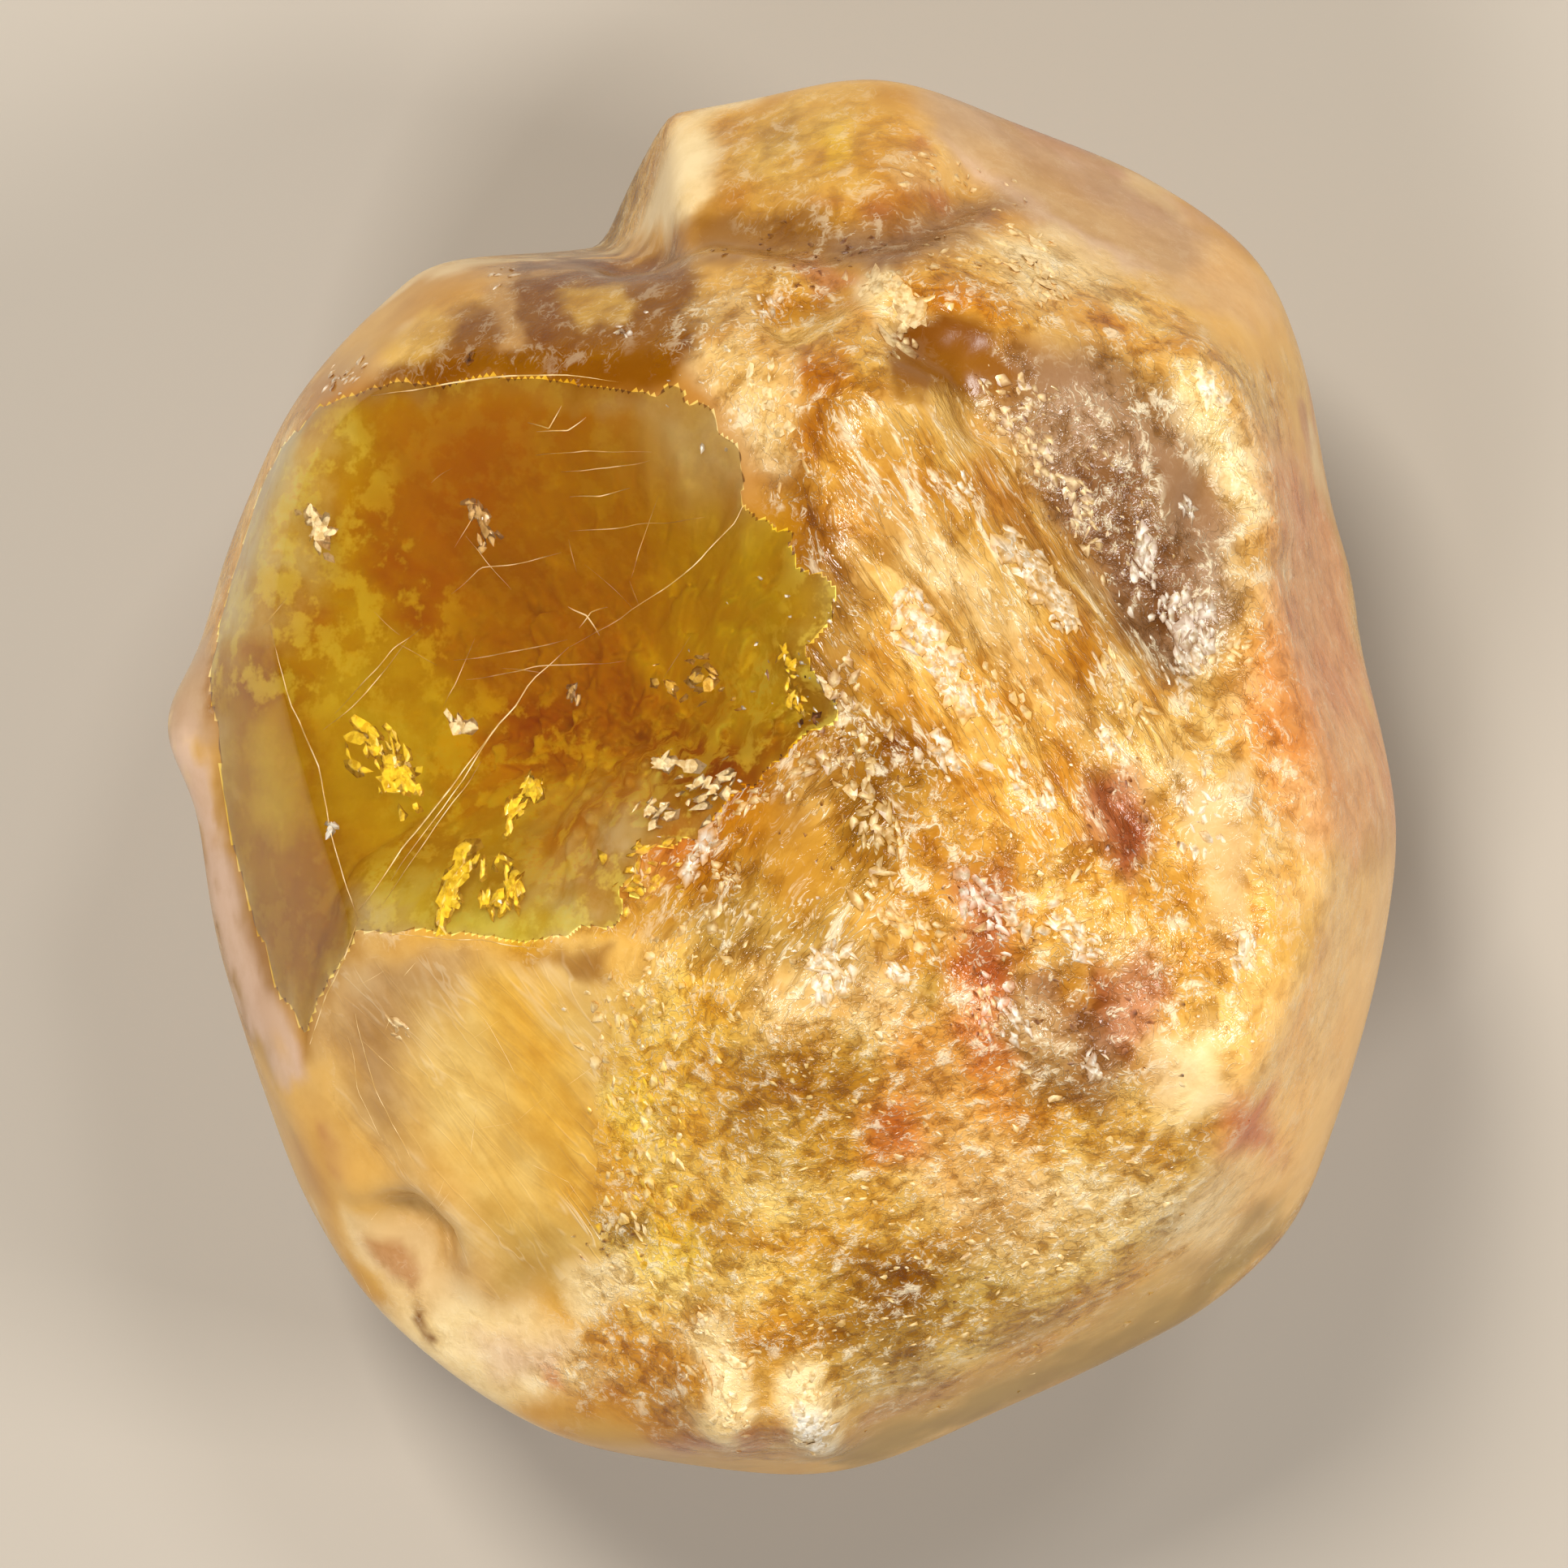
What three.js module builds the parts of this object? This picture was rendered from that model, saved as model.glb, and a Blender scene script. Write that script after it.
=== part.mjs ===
// A tumbled grossular garnet, lying on its flat back and seen from above.
// The crystal's dodecahedron faces still show as soft facets with rounded edges.
// Its middle is at 0, 0, 0 while it is shaped: x is right, y is up the long way, z is towards the viewer.
// Lengths are in millimetres and angles in degrees.
import * as THREE from "three";
import { mergeVertices } from "three/addons/utils/BufferGeometryUtils.js";

const backDepth = 7.65; // from the middle of the stone to the face it lies on
const edgeSharpness = 36; // higher gives tighter edges between facets
const cellsPerSide = 26; // grid cells along each side of the six patches

// Each facet faces azimuth (0 is right, 90 is up) and tilt (90 faces the viewer, -90 the ground).
// Distance is how far its plane stands from the middle of the stone.
const facets = [
  { name: "clear window", azimuth: 168, tilt: 56, distance: 6.3 },
  { name: "golden face", azimuth: 221, tilt: 46, distance: 7.1 },
  { name: "left strip", azimuth: 187, tilt: 30, distance: 7.8 },
  { name: "left side", azimuth: 186, tilt: 5, distance: 9.6 },
  { name: "upper left side", azimuth: 162, tilt: 12, distance: 9.05 },
  { name: "upper left corner", azimuth: 131, tilt: 14, distance: 9.4 },
  { name: "upper band", azimuth: 112, tilt: 31, distance: 8.6 },
  { name: "top lobe front", azimuth: 98, tilt: 45, distance: 9.2 },
  { name: "top side", azimuth: 94, tilt: 5, distance: 11.5 },
  { name: "top right bevel", azimuth: 62, tilt: 26, distance: 9.62 },
  { name: "right shoulder", azimuth: 41, tilt: 15, distance: 11.12 },
  { name: "right side", azimuth: 14, tilt: 15, distance: 9 },
  { name: "lower right side", azimuth: -15, tilt: 16, distance: 9.45 },
  { name: "right corner", azimuth: -40, tilt: 18, distance: 9.9 },
  { name: "lower bevel", azimuth: -67, tilt: 20, distance: 9.6 },
  { name: "bottom side", azimuth: -91, tilt: 12, distance: 10.5 },
  { name: "lower left side", azimuth: -120, tilt: 20, distance: 10.2 },
  { name: "left foot", azimuth: -157, tilt: 12, distance: 9.1 },
  { name: "front", azimuth: -20, tilt: 84, distance: 7.6 },
  { name: "right front", azimuth: 20, tilt: 60, distance: 7.95 },
  { name: "low front", azimuth: -80, tilt: 54, distance: 8.15 },
  { name: "rest face", azimuth: 0, tilt: -90, distance: 7.76 },
  { name: "back left", azimuth: 188, tilt: -28, distance: 8.75 },
  { name: "back upper left", azimuth: 138, tilt: -36, distance: 8.8 },
  { name: "back top", azimuth: 86, tilt: -32, distance: 9.7 },
  { name: "back upper right", azimuth: 36, tilt: -37, distance: 9.4 },
  { name: "back right", azimuth: -10, tilt: -27, distance: 8.9 },
  { name: "back lower right", azimuth: -60, tilt: -36, distance: 9.2 },
  { name: "back lower left", azimuth: -120, tilt: -31, distance: 9.35 },
];

// The broken corner at the upper left: stone is gone beyond the ledge and also beyond the wall.
const brokenCorner = {
  ledge: { azimuth: 93, tilt: 7, distance: 8.32 },
  wall: { azimuth: 165, tilt: 12, distance: 4.2 },
  innerRound: 0.6,
  outerRound: 0.4,
};

// A knob that stands out of the left rim.
const knob = { at: [-9.6, 0.9, -0.8], width: 0.95, height: 0.4 };

// Relief on the skin: each follows a path of x, y points on the front, the back or right round the rim.
// A positive height stands proud, and width is the half width of its rounded section.
const relief = [
  { name: "groove under the top lobe", side: "front", height: -0.38, width: 0.42,
    path: [[-2.6, 8.4], [-1.1, 8.75], [0.45, 8.45], [1.85, 8.65], [2.9, 9.3]] },
  { name: "hollows below the lobe", side: "front", height: -0.4, width: 0.4, path: [[0.1, 7.1], [0.95, 7.65]] },
  { name: "dark pocket", side: "front", height: -0.4, width: 0.55, path: [[1.95, 6.85], [2.65, 6.55], [3.0, 6.0]] },
  { name: "trough on the right", side: "front", height: -0.42, width: 0.75,
    path: [[3.35, 5.65], [4.25, 4.4], [5.4, 3.1], [6.4, 2.1]] },
  { name: "diagonal ridge", side: "front", height: 0.18, width: 0.7,
    path: [[1.2, 5.7], [2.7, 4.1], [4.1, 2.2], [5.5, 0.2]] },
  { name: "second ridge", side: "front", height: 0.12, width: 0.6, path: [[0.6, 3.4], [2.4, 2.0], [3.4, 0.2]] },
  { name: "right pocket", side: "front", height: -0.28, width: 0.5, path: [[6.8, 5.0], [6.5, 4.1]] },
  { name: "right shelf", side: "front", height: 0.22, width: 0.45, path: [[6.2, 6.4], [7.1, 5.3], [7.7, 4.0]] },
  { name: "pale blade", side: "front", height: 0.2, width: 0.4, path: [[6.5, 0.1], [6.9, -0.8], [7.2, -1.8]] },
  { name: "red hollow", side: "front", height: -0.26, width: 0.5, path: [[5.2, -0.3], [5.7, -0.9]] },
  { name: "lower red hollow", side: "front", height: -0.26, width: 0.6, path: [[3.3, -3.0], [4.6, -3.5], [5.8, -3.2]] },
  { name: "right rim hollow", side: "rim", height: -0.28, width: 1.7, path: [[8.8, 2.6], [8.7, 3.8]] },
  { name: "round pit", side: "front", height: -0.6, width: 0.55, path: [[-5.95, -6.95], [-5.7, -7.25]] },
  { name: "pit rim", side: "front", height: 0.14, width: 0.4,
    path: [[-6.6, -6.3], [-5.7, -6.1], [-4.9, -6.8], [-4.8, -7.6]] },
  { name: "left foot lump", side: "front", height: 0.32, width: 0.5, path: [[-1.2, -9.2], [-0.95, -9.6]] },
  { name: "right foot lump", side: "front", height: 0.32, width: 0.5, path: [[0.35, -9.6], [0.6, -9.9]] },
  { name: "back chip", side: "back", height: -0.4, width: 0.9, path: [[5.6, 3.4], [6.8, 2.0], [6.9, 0.6]] },
  { name: "back groove", side: "back", height: -0.3, width: 0.5, path: [[-7.4, -1.5], [-6.8, 0.6], [-7.2, 2.6]] },
  { name: "back pit", side: "back", height: -0.45, width: 0.6, path: [[-1.6, -8.4], [-0.6, -8.6]] },
];

const rimFade = 1.2; // front and back relief fades out over this height as it nears the rim

// Slow swells that keep the ground faces from being flat as glass.
const swell = { height: 0.07, wavesPerMillimetre: 0.95 };

function directionOf({ azimuth, tilt }) {
  const a = THREE.MathUtils.degToRad(azimuth);
  const t = THREE.MathUtils.degToRad(tilt);
  return new THREE.Vector3(Math.cos(a) * Math.cos(t), Math.sin(a) * Math.cos(t), Math.sin(t));
}

const facetPlanes = facets.map((facet) => ({ normal: directionOf(facet), distance: facet.distance }));
const ledgePlane = { normal: directionOf(brokenCorner.ledge), distance: brokenCorner.ledge.distance };
const wallPlane = { normal: directionOf(brokenCorner.wall), distance: brokenCorner.wall.distance };
const knobDirection = new THREE.Vector3(...knob.at).normalize();
const knobReach = new THREE.Vector3(...knob.at).length();

// How far a ray from the middle goes before it meets a plane, capped where it runs away from it.
const farthestReach = 30;
function reachOf(direction, plane) {
  const facing = Math.max(direction.dot(plane.normal), plane.distance / farthestReach);
  return plane.distance / facing;
}

function smoothMax(a, b, round) {
  const share = THREE.MathUtils.clamp(0.5 + (0.5 * (a - b)) / round, 0, 1);
  return b * (1 - share) + a * share + round * share * (1 - share);
}

function smoothMin(a, b, round) {
  return -smoothMax(-a, -b, round);
}

// The rounded polyhedron: the reaches of all facets joined by a power mean, which rounds every edge.
function facetReach(direction) {
  let sum = 0;
  for (const plane of facetPlanes) {
    const share = Math.max(direction.dot(plane.normal), 0) / plane.distance;
    sum += share ** edgeSharpness;
  }
  return sum ** (-1 / edgeSharpness);
}

function distanceToPath(x, y, path) {
  let nearest = Infinity;
  for (let i = 1; i < path.length; i += 1) {
    const [ax, ay] = path[i - 1];
    const [bx, by] = path[i];
    const along = ((x - ax) * (bx - ax) + (y - ay) * (by - ay)) / ((bx - ax) ** 2 + (by - ay) ** 2);
    const t = THREE.MathUtils.clamp(along, 0, 1);
    nearest = Math.min(nearest, Math.hypot(x - ax - t * (bx - ax), y - ay - t * (by - ay)));
  }
  return nearest;
}

function reliefHeight(point) {
  const share = {
    front: THREE.MathUtils.smoothstep(point.z, 0, rimFade),
    back: THREE.MathUtils.smoothstep(-point.z, 0, rimFade),
    rim: 1,
  };
  let height = 0;
  for (const mark of relief) {
    const section = Math.exp(-((distanceToPath(point.x, point.y, mark.path) / mark.width) ** 2));
    height += mark.height * section * share[mark.side];
  }
  return height;
}

function swellHeight({ x, y, z }) {
  const k = swell.wavesPerMillimetre;
  const waves = Math.sin(k * x + 1.7 * Math.sin(k * y)) + Math.sin(k * 1.3 * y + 1.3 * Math.sin(k * z))
    + Math.sin(k * 0.9 * z + 1.5 * Math.sin(k * 1.1 * x));
  return (swell.height * waves) / 3;
}

// Distance from the middle of the stone to its skin along a direction.
function skinReach(direction) {
  let reach = facetReach(direction);
  const corner = smoothMax(reachOf(direction, ledgePlane), reachOf(direction, wallPlane), brokenCorner.innerRound);
  reach = smoothMin(reach, corner, brokenCorner.outerRound);
  const fromKnob = direction.angleTo(knobDirection) * knobReach;
  reach += knob.height * Math.exp(-((fromKnob / knob.width) ** 2));
  const point = direction.clone().multiplyScalar(reach);
  reach += reliefHeight(point) + swellHeight(point);
  const toGround = backDepth / Math.max(-direction.z, 1e-6);
  return Math.min(reach, toGround);
}

// The grid leans so that its lines run along the foot of the broken corner's wall, which keeps that edge straight.
const wallRun = ledgePlane.normal.clone().cross(wallPlane.normal).normalize();
const gridLean = new THREE.Quaternion().setFromUnitVectors(new THREE.Vector3(0, 0, 1), wallRun);

function garnetGeometry() {
  const box = new THREE.BoxGeometry(2, 2, 2, cellsPerSide, cellsPerSide, cellsPerSide);
  box.deleteAttribute("normal");
  box.deleteAttribute("uv");
  const geometry = mergeVertices(box, 1e-4);
  const position = geometry.getAttribute("position");
  const direction = new THREE.Vector3();
  const evenOut = (value) => Math.tan((value * Math.PI) / 4);
  for (let i = 0; i < position.count; i += 1) {
    direction.fromBufferAttribute(position, i);
    direction.set(evenOut(direction.x), evenOut(direction.y), evenOut(direction.z)).normalize();
    direction.applyQuaternion(gridLean);
    direction.multiplyScalar(skinReach(direction));
    position.setXYZ(i, direction.x, direction.y, direction.z);
  }
  return geometry;
}

// Sets the stone on the ground with the origin under the middle of its box.
function setOnGround(geometry) {
  geometry.computeBoundingBox();
  const middle = geometry.boundingBox.getCenter(new THREE.Vector3());
  geometry.translate(-middle.x, -middle.y, backDepth);
  geometry.computeVertexNormals();
  return geometry;
}

const honeyStone = new THREE.MeshStandardMaterial({ color: 0xb9802c, roughness: 0.18, metalness: 0 });
const garnet = new THREE.Mesh(setOnGround(garnetGeometry()), honeyStone);
garnet.name = "garnet";

const part = new THREE.Group();
part.add(garnet);

export default part;
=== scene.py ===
import math
import time
import bpy
import numpy as np
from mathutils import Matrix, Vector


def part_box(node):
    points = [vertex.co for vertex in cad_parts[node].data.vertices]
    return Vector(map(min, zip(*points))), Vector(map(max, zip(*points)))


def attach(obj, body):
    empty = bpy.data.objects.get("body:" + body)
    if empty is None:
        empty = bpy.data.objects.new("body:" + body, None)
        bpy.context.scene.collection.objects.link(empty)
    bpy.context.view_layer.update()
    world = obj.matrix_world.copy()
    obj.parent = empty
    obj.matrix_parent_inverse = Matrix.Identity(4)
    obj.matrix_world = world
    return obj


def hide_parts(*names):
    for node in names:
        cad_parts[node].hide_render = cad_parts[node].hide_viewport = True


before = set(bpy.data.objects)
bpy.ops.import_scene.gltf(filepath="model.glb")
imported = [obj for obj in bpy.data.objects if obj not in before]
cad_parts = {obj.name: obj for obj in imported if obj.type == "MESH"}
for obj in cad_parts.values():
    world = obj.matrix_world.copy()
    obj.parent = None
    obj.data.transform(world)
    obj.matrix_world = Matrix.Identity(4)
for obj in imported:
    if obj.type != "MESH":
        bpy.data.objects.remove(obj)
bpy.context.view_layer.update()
startTime = time.time()


def stage(words):
    print("garnet scene, %5.1f s: %s" % (time.time() - startTime, words))


# Shape of the stone, in millimetres from its middle: x right, y up the long way, z towards the viewer.
# Each facet faces azimuth (0 right, 90 up) and tilt (90 faces the viewer), and its plane stands at distance.
facets = [
    # name, azimuth, tilt, distance
    ("clear window", 168, 56, 6.3),
    ("golden face", 221, 46, 7.1),
    ("left strip", 187, 30, 7.8),
    ("left side", 186, 5, 9.6),
    ("upper left side", 162, 12, 9.05),
    ("upper left corner", 131, 14, 9.4),
    ("upper band", 112, 31, 8.6),
    ("top lobe front", 98, 45, 9.2),
    ("top side", 94, 5, 11.5),
    ("top right bevel", 62, 26, 9.62),
    ("right shoulder", 41, 15, 11.12),
    ("right side", 14, 15, 9.0),
    ("lower right side", -15, 16, 9.45),
    ("right corner", -40, 18, 9.9),
    ("lower bevel", -67, 20, 9.6),
    ("bottom side", -91, 12, 10.5),
    ("lower left side", -120, 20, 10.2),
    ("left foot", -157, 12, 9.1),
    ("front", -20, 84, 7.6),
    ("right front", 20, 60, 7.95),
    ("low front", -80, 54, 8.15),
    ("rest face", 0, -90, 7.76),
    ("back left", 188, -28, 8.75),
    ("back upper left", 138, -36, 8.8),
    ("back top", 86, -32, 9.7),
    ("back upper right", 36, -37, 9.4),
    ("back right", -10, -27, 8.9),
    ("back lower right", -60, -36, 9.2),
    ("back lower left", -120, -31, 9.35),
]

stone = {
    "backDepth": 7.65,        # from the middle to the face it lies on
    "edgeSharpness": 36,      # higher gives tighter edges between facets
    "ledge": (93, 7, 8.32),   # broken corner: azimuth, tilt, distance of the ledge
    "wall": (165, 12, 4.2),   # and of the wall above it
    "innerRound": 0.6,
    "outerRound": 0.4,
    "knobAt": (-9.6, 0.9, -0.8),
    "knobWidth": 0.95,
    "knobHeight": 0.4,
    "swellHeight": 0.07,
    "swellWaves": 0.95,       # waves per millimetre
    "rimFade": 1.2,           # front and back relief fades out over this height near the rim
    "skinCells": 128,         # grid cells along each side of the six patches
    "frontCrowding": 0.4,     # 0 spreads the points evenly, 1 would leave none at the back
}

# Relief on the skin: side, height, half width, then the x, y points that it follows.
relief = [
    # groove under the top lobe and hollows below it
    ("front", -0.38, 0.42, [(-2.6, 8.4), (-1.1, 8.75), (0.45, 8.45), (1.85, 8.65), (2.9, 9.3)]),
    ("front", -0.4, 0.4, [(0.1, 7.1), (0.95, 7.65)]),
    # dark pocket and the trough on the right
    ("front", -0.4, 0.55, [(1.95, 6.85), (2.65, 6.55), (3.0, 6.0)]),
    ("front", -0.42, 0.75, [(3.35, 5.65), (4.25, 4.4), (5.4, 3.1), (6.4, 2.1)]),
    # diagonal ridges
    ("front", 0.18, 0.7, [(1.2, 5.7), (2.7, 4.1), (4.1, 2.2), (5.5, 0.2)]),
    ("front", 0.12, 0.6, [(0.6, 3.4), (2.4, 2.0), (3.4, 0.2)]),
    # pocket, shelf, pale blade and the hollows on the right
    ("front", -0.28, 0.5, [(6.8, 5.0), (6.5, 4.1)]),
    ("front", 0.22, 0.45, [(6.2, 6.4), (7.1, 5.3), (7.7, 4.0)]),
    ("front", 0.2, 0.4, [(6.5, 0.1), (6.9, -0.8), (7.2, -1.8)]),
    ("front", -0.26, 0.5, [(5.2, -0.3), (5.7, -0.9)]),
    ("front", -0.26, 0.6, [(3.3, -3.0), (4.6, -3.5), (5.8, -3.2)]),
    ("rim", -0.28, 1.7, [(8.8, 2.6), (8.7, 3.8)]),
    # round pit with its rim, and the two lumps at the foot
    ("front", -0.6, 0.55, [(-5.95, -6.95), (-5.7, -7.25)]),
    ("front", 0.14, 0.4, [(-6.6, -6.3), (-5.7, -6.1), (-4.9, -6.8), (-4.8, -7.6)]),
    ("front", 0.32, 0.5, [(-1.2, -9.2), (-0.95, -9.6)]),
    ("front", 0.32, 0.5, [(0.35, -9.6), (0.6, -9.9)]),
    # chip, groove and pit on the back
    ("back", -0.4, 0.9, [(5.6, 3.4), (6.8, 2.0), (6.9, 0.6)]),
    ("back", -0.3, 0.5, [(-7.4, -1.5), (-6.8, 0.6), (-7.2, 2.6)]),
    ("back", -0.45, 0.6, [(-1.6, -8.4), (-0.6, -8.6)]),
]


def facing(azimuth, tilt):
    a, t = math.radians(azimuth), math.radians(tilt)
    return np.array([math.cos(a) * math.cos(t), math.sin(a) * math.cos(t), math.sin(t)])


def unit(vectors):
    return vectors / np.linalg.norm(vectors, axis=-1, keepdims=True)


def softStep(value, low, high):
    # 0 below low, 1 above high, an S-curve between
    t = np.clip((value - low) / (high - low), 0, 1)
    return t * t * (3 - 2 * t)


def smoothMax(a, b, rounding):
    share = np.clip(0.5 + 0.5 * (a - b) / rounding, 0, 1)
    return b * (1 - share) + a * share + rounding * share * (1 - share)


def smoothMin(a, b, rounding):
    return -smoothMax(-a, -b, rounding)


def reachOf(directions, azimuth, tilt, distance):
    # how far a ray from the middle goes before it meets the plane, 30 mm at most
    return distance / np.maximum(directions @ facing(azimuth, tilt), distance / 30)


def distanceToPath(x, y, path):
    nearest = np.full(np.shape(x), 99.0)
    for (ax, ay), (bx, by) in zip(path[:-1], path[1:]):
        along = ((x - ax) * (bx - ax) + (y - ay) * (by - ay)) / ((bx - ax) ** 2 + (by - ay) ** 2)
        t = np.clip(along, 0, 1)
        nearest = np.minimum(nearest, np.hypot(x - ax - t * (bx - ax), y - ay - t * (by - ay)))
    return nearest


latticeCells = 32
noiseLattice = np.random.default_rng(11).random((latticeCells, latticeCells, latticeCells))


def softNoise(points, size, shift=0.0):
    # value noise: random numbers on a lattice of the given cell size, blended with S-curves, -1 to 1
    p = points / size + 16.5 + shift
    base = np.floor(p).astype(int)
    f = p - base
    f = f * f * (3 - 2 * f)
    total = 0
    for corner in range(8):
        step = np.array([corner & 1, corner >> 1 & 1, corner >> 2 & 1])
        cell = (base + step) % latticeCells
        share = np.prod(np.where(step == 1, f, 1 - f), axis=-1)
        total = total + share * noiseLattice[cell[..., 0], cell[..., 1], cell[..., 2]]
    return total * 2 - 1


def cloudNoise(points, size, layers=4, shift=0.0):
    # layers of soft noise, each half the size and a little over half the height of the one before
    total = 0
    for layer in range(layers):
        total = total + 0.55 ** layer * softNoise(points, size / 2 ** layer, shift + 5.3 * layer)
    return total


def facetReach(directions):
    # rounded polyhedron: the reaches of all facets joined by a power mean, which rounds every edge
    normals = np.array([facing(azimuth, tilt) for _, azimuth, tilt, _ in facets])
    distances = np.array([distance for _, _, _, distance in facets])
    share = np.maximum(directions @ normals.T, 0) / distances
    return (share ** stone["edgeSharpness"]).sum(-1) ** (-1 / stone["edgeSharpness"])


def skinReach(directions):
    # distance from the middle to the skin: polyhedron, broken corner, knob, relief and slow swells
    reach = facetReach(directions)
    corner = smoothMax(reachOf(directions, *stone["ledge"]), reachOf(directions, *stone["wall"]),
                       stone["innerRound"])
    reach = smoothMin(reach, corner, stone["outerRound"])
    knobReach = np.linalg.norm(stone["knobAt"])
    fromKnob = np.arccos(np.clip(directions @ stone["knobAt"] / knobReach, -1, 1)) * knobReach
    reach = reach + stone["knobHeight"] * np.exp(-(fromKnob / stone["knobWidth"]) ** 2)
    x, y, z = np.moveaxis(directions * reach[..., None], -1, 0)
    shares = {"front": softStep(z, 0, stone["rimFade"]), "back": softStep(-z, 0, stone["rimFade"]), "rim": 1}
    for side, height, width, path in relief:
        reach = reach + shares[side] * height * np.exp(-(distanceToPath(x, y, path) / width) ** 2)
    k = stone["swellWaves"]
    waves = (np.sin(k * x + 1.7 * np.sin(k * y)) + np.sin(1.3 * k * y + 1.3 * np.sin(k * z))
             + np.sin(0.9 * k * z + 1.5 * np.sin(1.1 * k * x)))
    reach = reach + stone["swellHeight"] * waves / 3
    return np.minimum(reach, stone["backDepth"] / np.maximum(-directions[..., 2], 1e-6))


def ballGrid(cells):
    # six square patches of a cube, each a grid of two parameters, evened out by a tangent and joined
    line = np.tan(np.linspace(-1, 1, cells + 1) * math.pi / 4)
    a, b = np.meshgrid(line, line, indexing="ij")
    one = np.ones_like(a)
    patches = [(one, a, b), (-one, b, a), (b, one, a), (a, -one, b), (a, b, one), (b, a, -one)]
    points = np.concatenate([np.stack(p, -1).reshape(-1, 3) for p in patches])
    index = np.arange((cells + 1) ** 2).reshape(cells + 1, cells + 1)
    quad = np.stack([index[:-1, :-1], index[1:, :-1], index[1:, 1:], index[:-1, 1:]], -1).reshape(-1, 4)
    quads = np.concatenate([quad + k * (cells + 1) ** 2 for k in range(6)])
    _, first, same = np.unique(np.round(points, 6), axis=0, return_index=True, return_inverse=True)
    points = unit(points[first])
    # shifted towards the viewer before the lengths are evened, the points crowd where the detail is
    points = points + np.array([0, 0, stone["frontCrowding"]])
    return unit(points), same.reshape(-1)[quads]


# The frame gives the size and the place: the stone's box in the CAD model against the box of the formula.
gridDirections, gridQuads = ballGrid(stone["skinCells"])
gridReach = skinReach(gridDirections)
skinPoints = gridDirections * gridReach[:, None]
cadLow, cadHigh = (np.array(corner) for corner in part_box("garnet"))
millimetre = (cadHigh[1] - cadLow[1]) / np.ptp(skinPoints[:, 1])
boxMiddle = (skinPoints.max(0) + skinPoints.min(0)) / 2
stoneMiddle = np.array([(cadLow[0] + cadHigh[0]) / 2, (cadLow[1] + cadHigh[1]) / 2, cadLow[2]])
stoneMiddle = stoneMiddle + np.array([-boxMiddle[0], -boxMiddle[1], stone["backDepth"]]) * millimetre
stage("one millimetre is %.6f m in the frame" % millimetre)


def toFrame(points):
    # from stone millimetres to the frame's metres
    return points * millimetre + stoneMiddle


# The photograph's frame: 1932 pixels wide, with the stone's middle at 965, 965.
photo = {"width": 1932, "middle": 965, "stoneHeight": 1730, "stoneLength": 22.0, "cameraDistance": 150.0}
pixel = photo["stoneLength"] / photo["stoneHeight"]   # millimetres per pixel at the rim


def px(*pairs):
    # turns pixel places of the photograph into x, y millimetres
    return [((x - photo["middle"]) * pixel, (photo["middle"] - y) * pixel) for x, y in pairs]


def asSeen(points):
    # x and y as the camera sees them, brought to the height of the stone's middle
    nearer = photo["cameraDistance"] / (photo["cameraDistance"] - points[..., 2])
    return points[..., 0] * nearer, points[..., 1] * nearer


def addMesh(name, points, faces, material, smooth=True):
    # points in stone millimetres, faces as an array of corners
    mesh = bpy.data.meshes.new(name)
    faces = np.asarray(faces)
    mesh.vertices.add(len(points))
    mesh.vertices.foreach_set("co", toFrame(points).astype(np.float32).ravel())
    mesh.loops.add(faces.size)
    mesh.loops.foreach_set("vertex_index", faces.astype(np.int32).ravel())
    mesh.polygons.add(len(faces))
    mesh.polygons.foreach_set("loop_start", np.arange(0, faces.size, faces.shape[1], dtype=np.int32))
    mesh.polygons.foreach_set("use_smooth", np.full(len(faces), smooth))
    mesh.update(calc_edges=True)
    mesh.validate()
    mesh.materials.append(material)
    piece = bpy.data.objects.new(name, mesh)
    bpy.context.scene.collection.objects.link(piece)
    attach(piece, "root")
    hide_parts("garnet")
    return piece


def addMask(piece, name, values):
    # one number per vertex, read in the material by an Attribute node
    mask = piece.data.attributes.new(name, "FLOAT", "POINT")
    mask.data.foreach_set("value", np.asarray(values, dtype=np.float32).ravel())


def addTint(piece, name, colours):
    # one colour per vertex
    tint = piece.data.attributes.new(name, "FLOAT_COLOR", "POINT")
    rgba = np.concatenate([colours, np.ones((len(colours), 1))], axis=1)
    tint.data.foreach_set("color", rgba.astype(np.float32).ravel())


# Node helpers
def newMaterial(name):
    # an empty material, its node tree, and the object's coordinates in metres
    material = bpy.data.materials.new(name)
    material.use_nodes = True
    tree = material.node_tree
    tree.nodes.clear()
    return material, tree, addNode(tree, "ShaderNodeTexCoord").outputs["Object"]


def newGroup(name, inputs, outputs):
    group = bpy.data.node_groups.new(name, "ShaderNodeTree")
    for socketName, kind, value in inputs:
        socket = group.interface.new_socket(socketName, in_out="INPUT", socket_type=kind)
        if value is not None:
            socket.default_value = value
    for socketName, kind in outputs:
        group.interface.new_socket(socketName, in_out="OUTPUT", socket_type=kind)
    return group, group.nodes.new("NodeGroupInput").outputs, group.nodes.new("NodeGroupOutput").inputs


def addNode(tree, kind, settings=None, **inputs):
    # settings are the node's own options; inputs are values, or sockets to link from,
    # under the socket's name or as _0, _1 and so on for its place
    node = tree.nodes.new(kind)
    for option, value in (settings or {}).items():
        setattr(node, option, value)
    for socketName, value in inputs.items():
        socket = node.inputs[int(socketName[1:])] if socketName[1:].isdigit() else node.inputs[socketName]
        if isinstance(value, bpy.types.NodeSocket):
            tree.links.new(value, socket)
        else:
            socket.default_value = value
    return node


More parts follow.
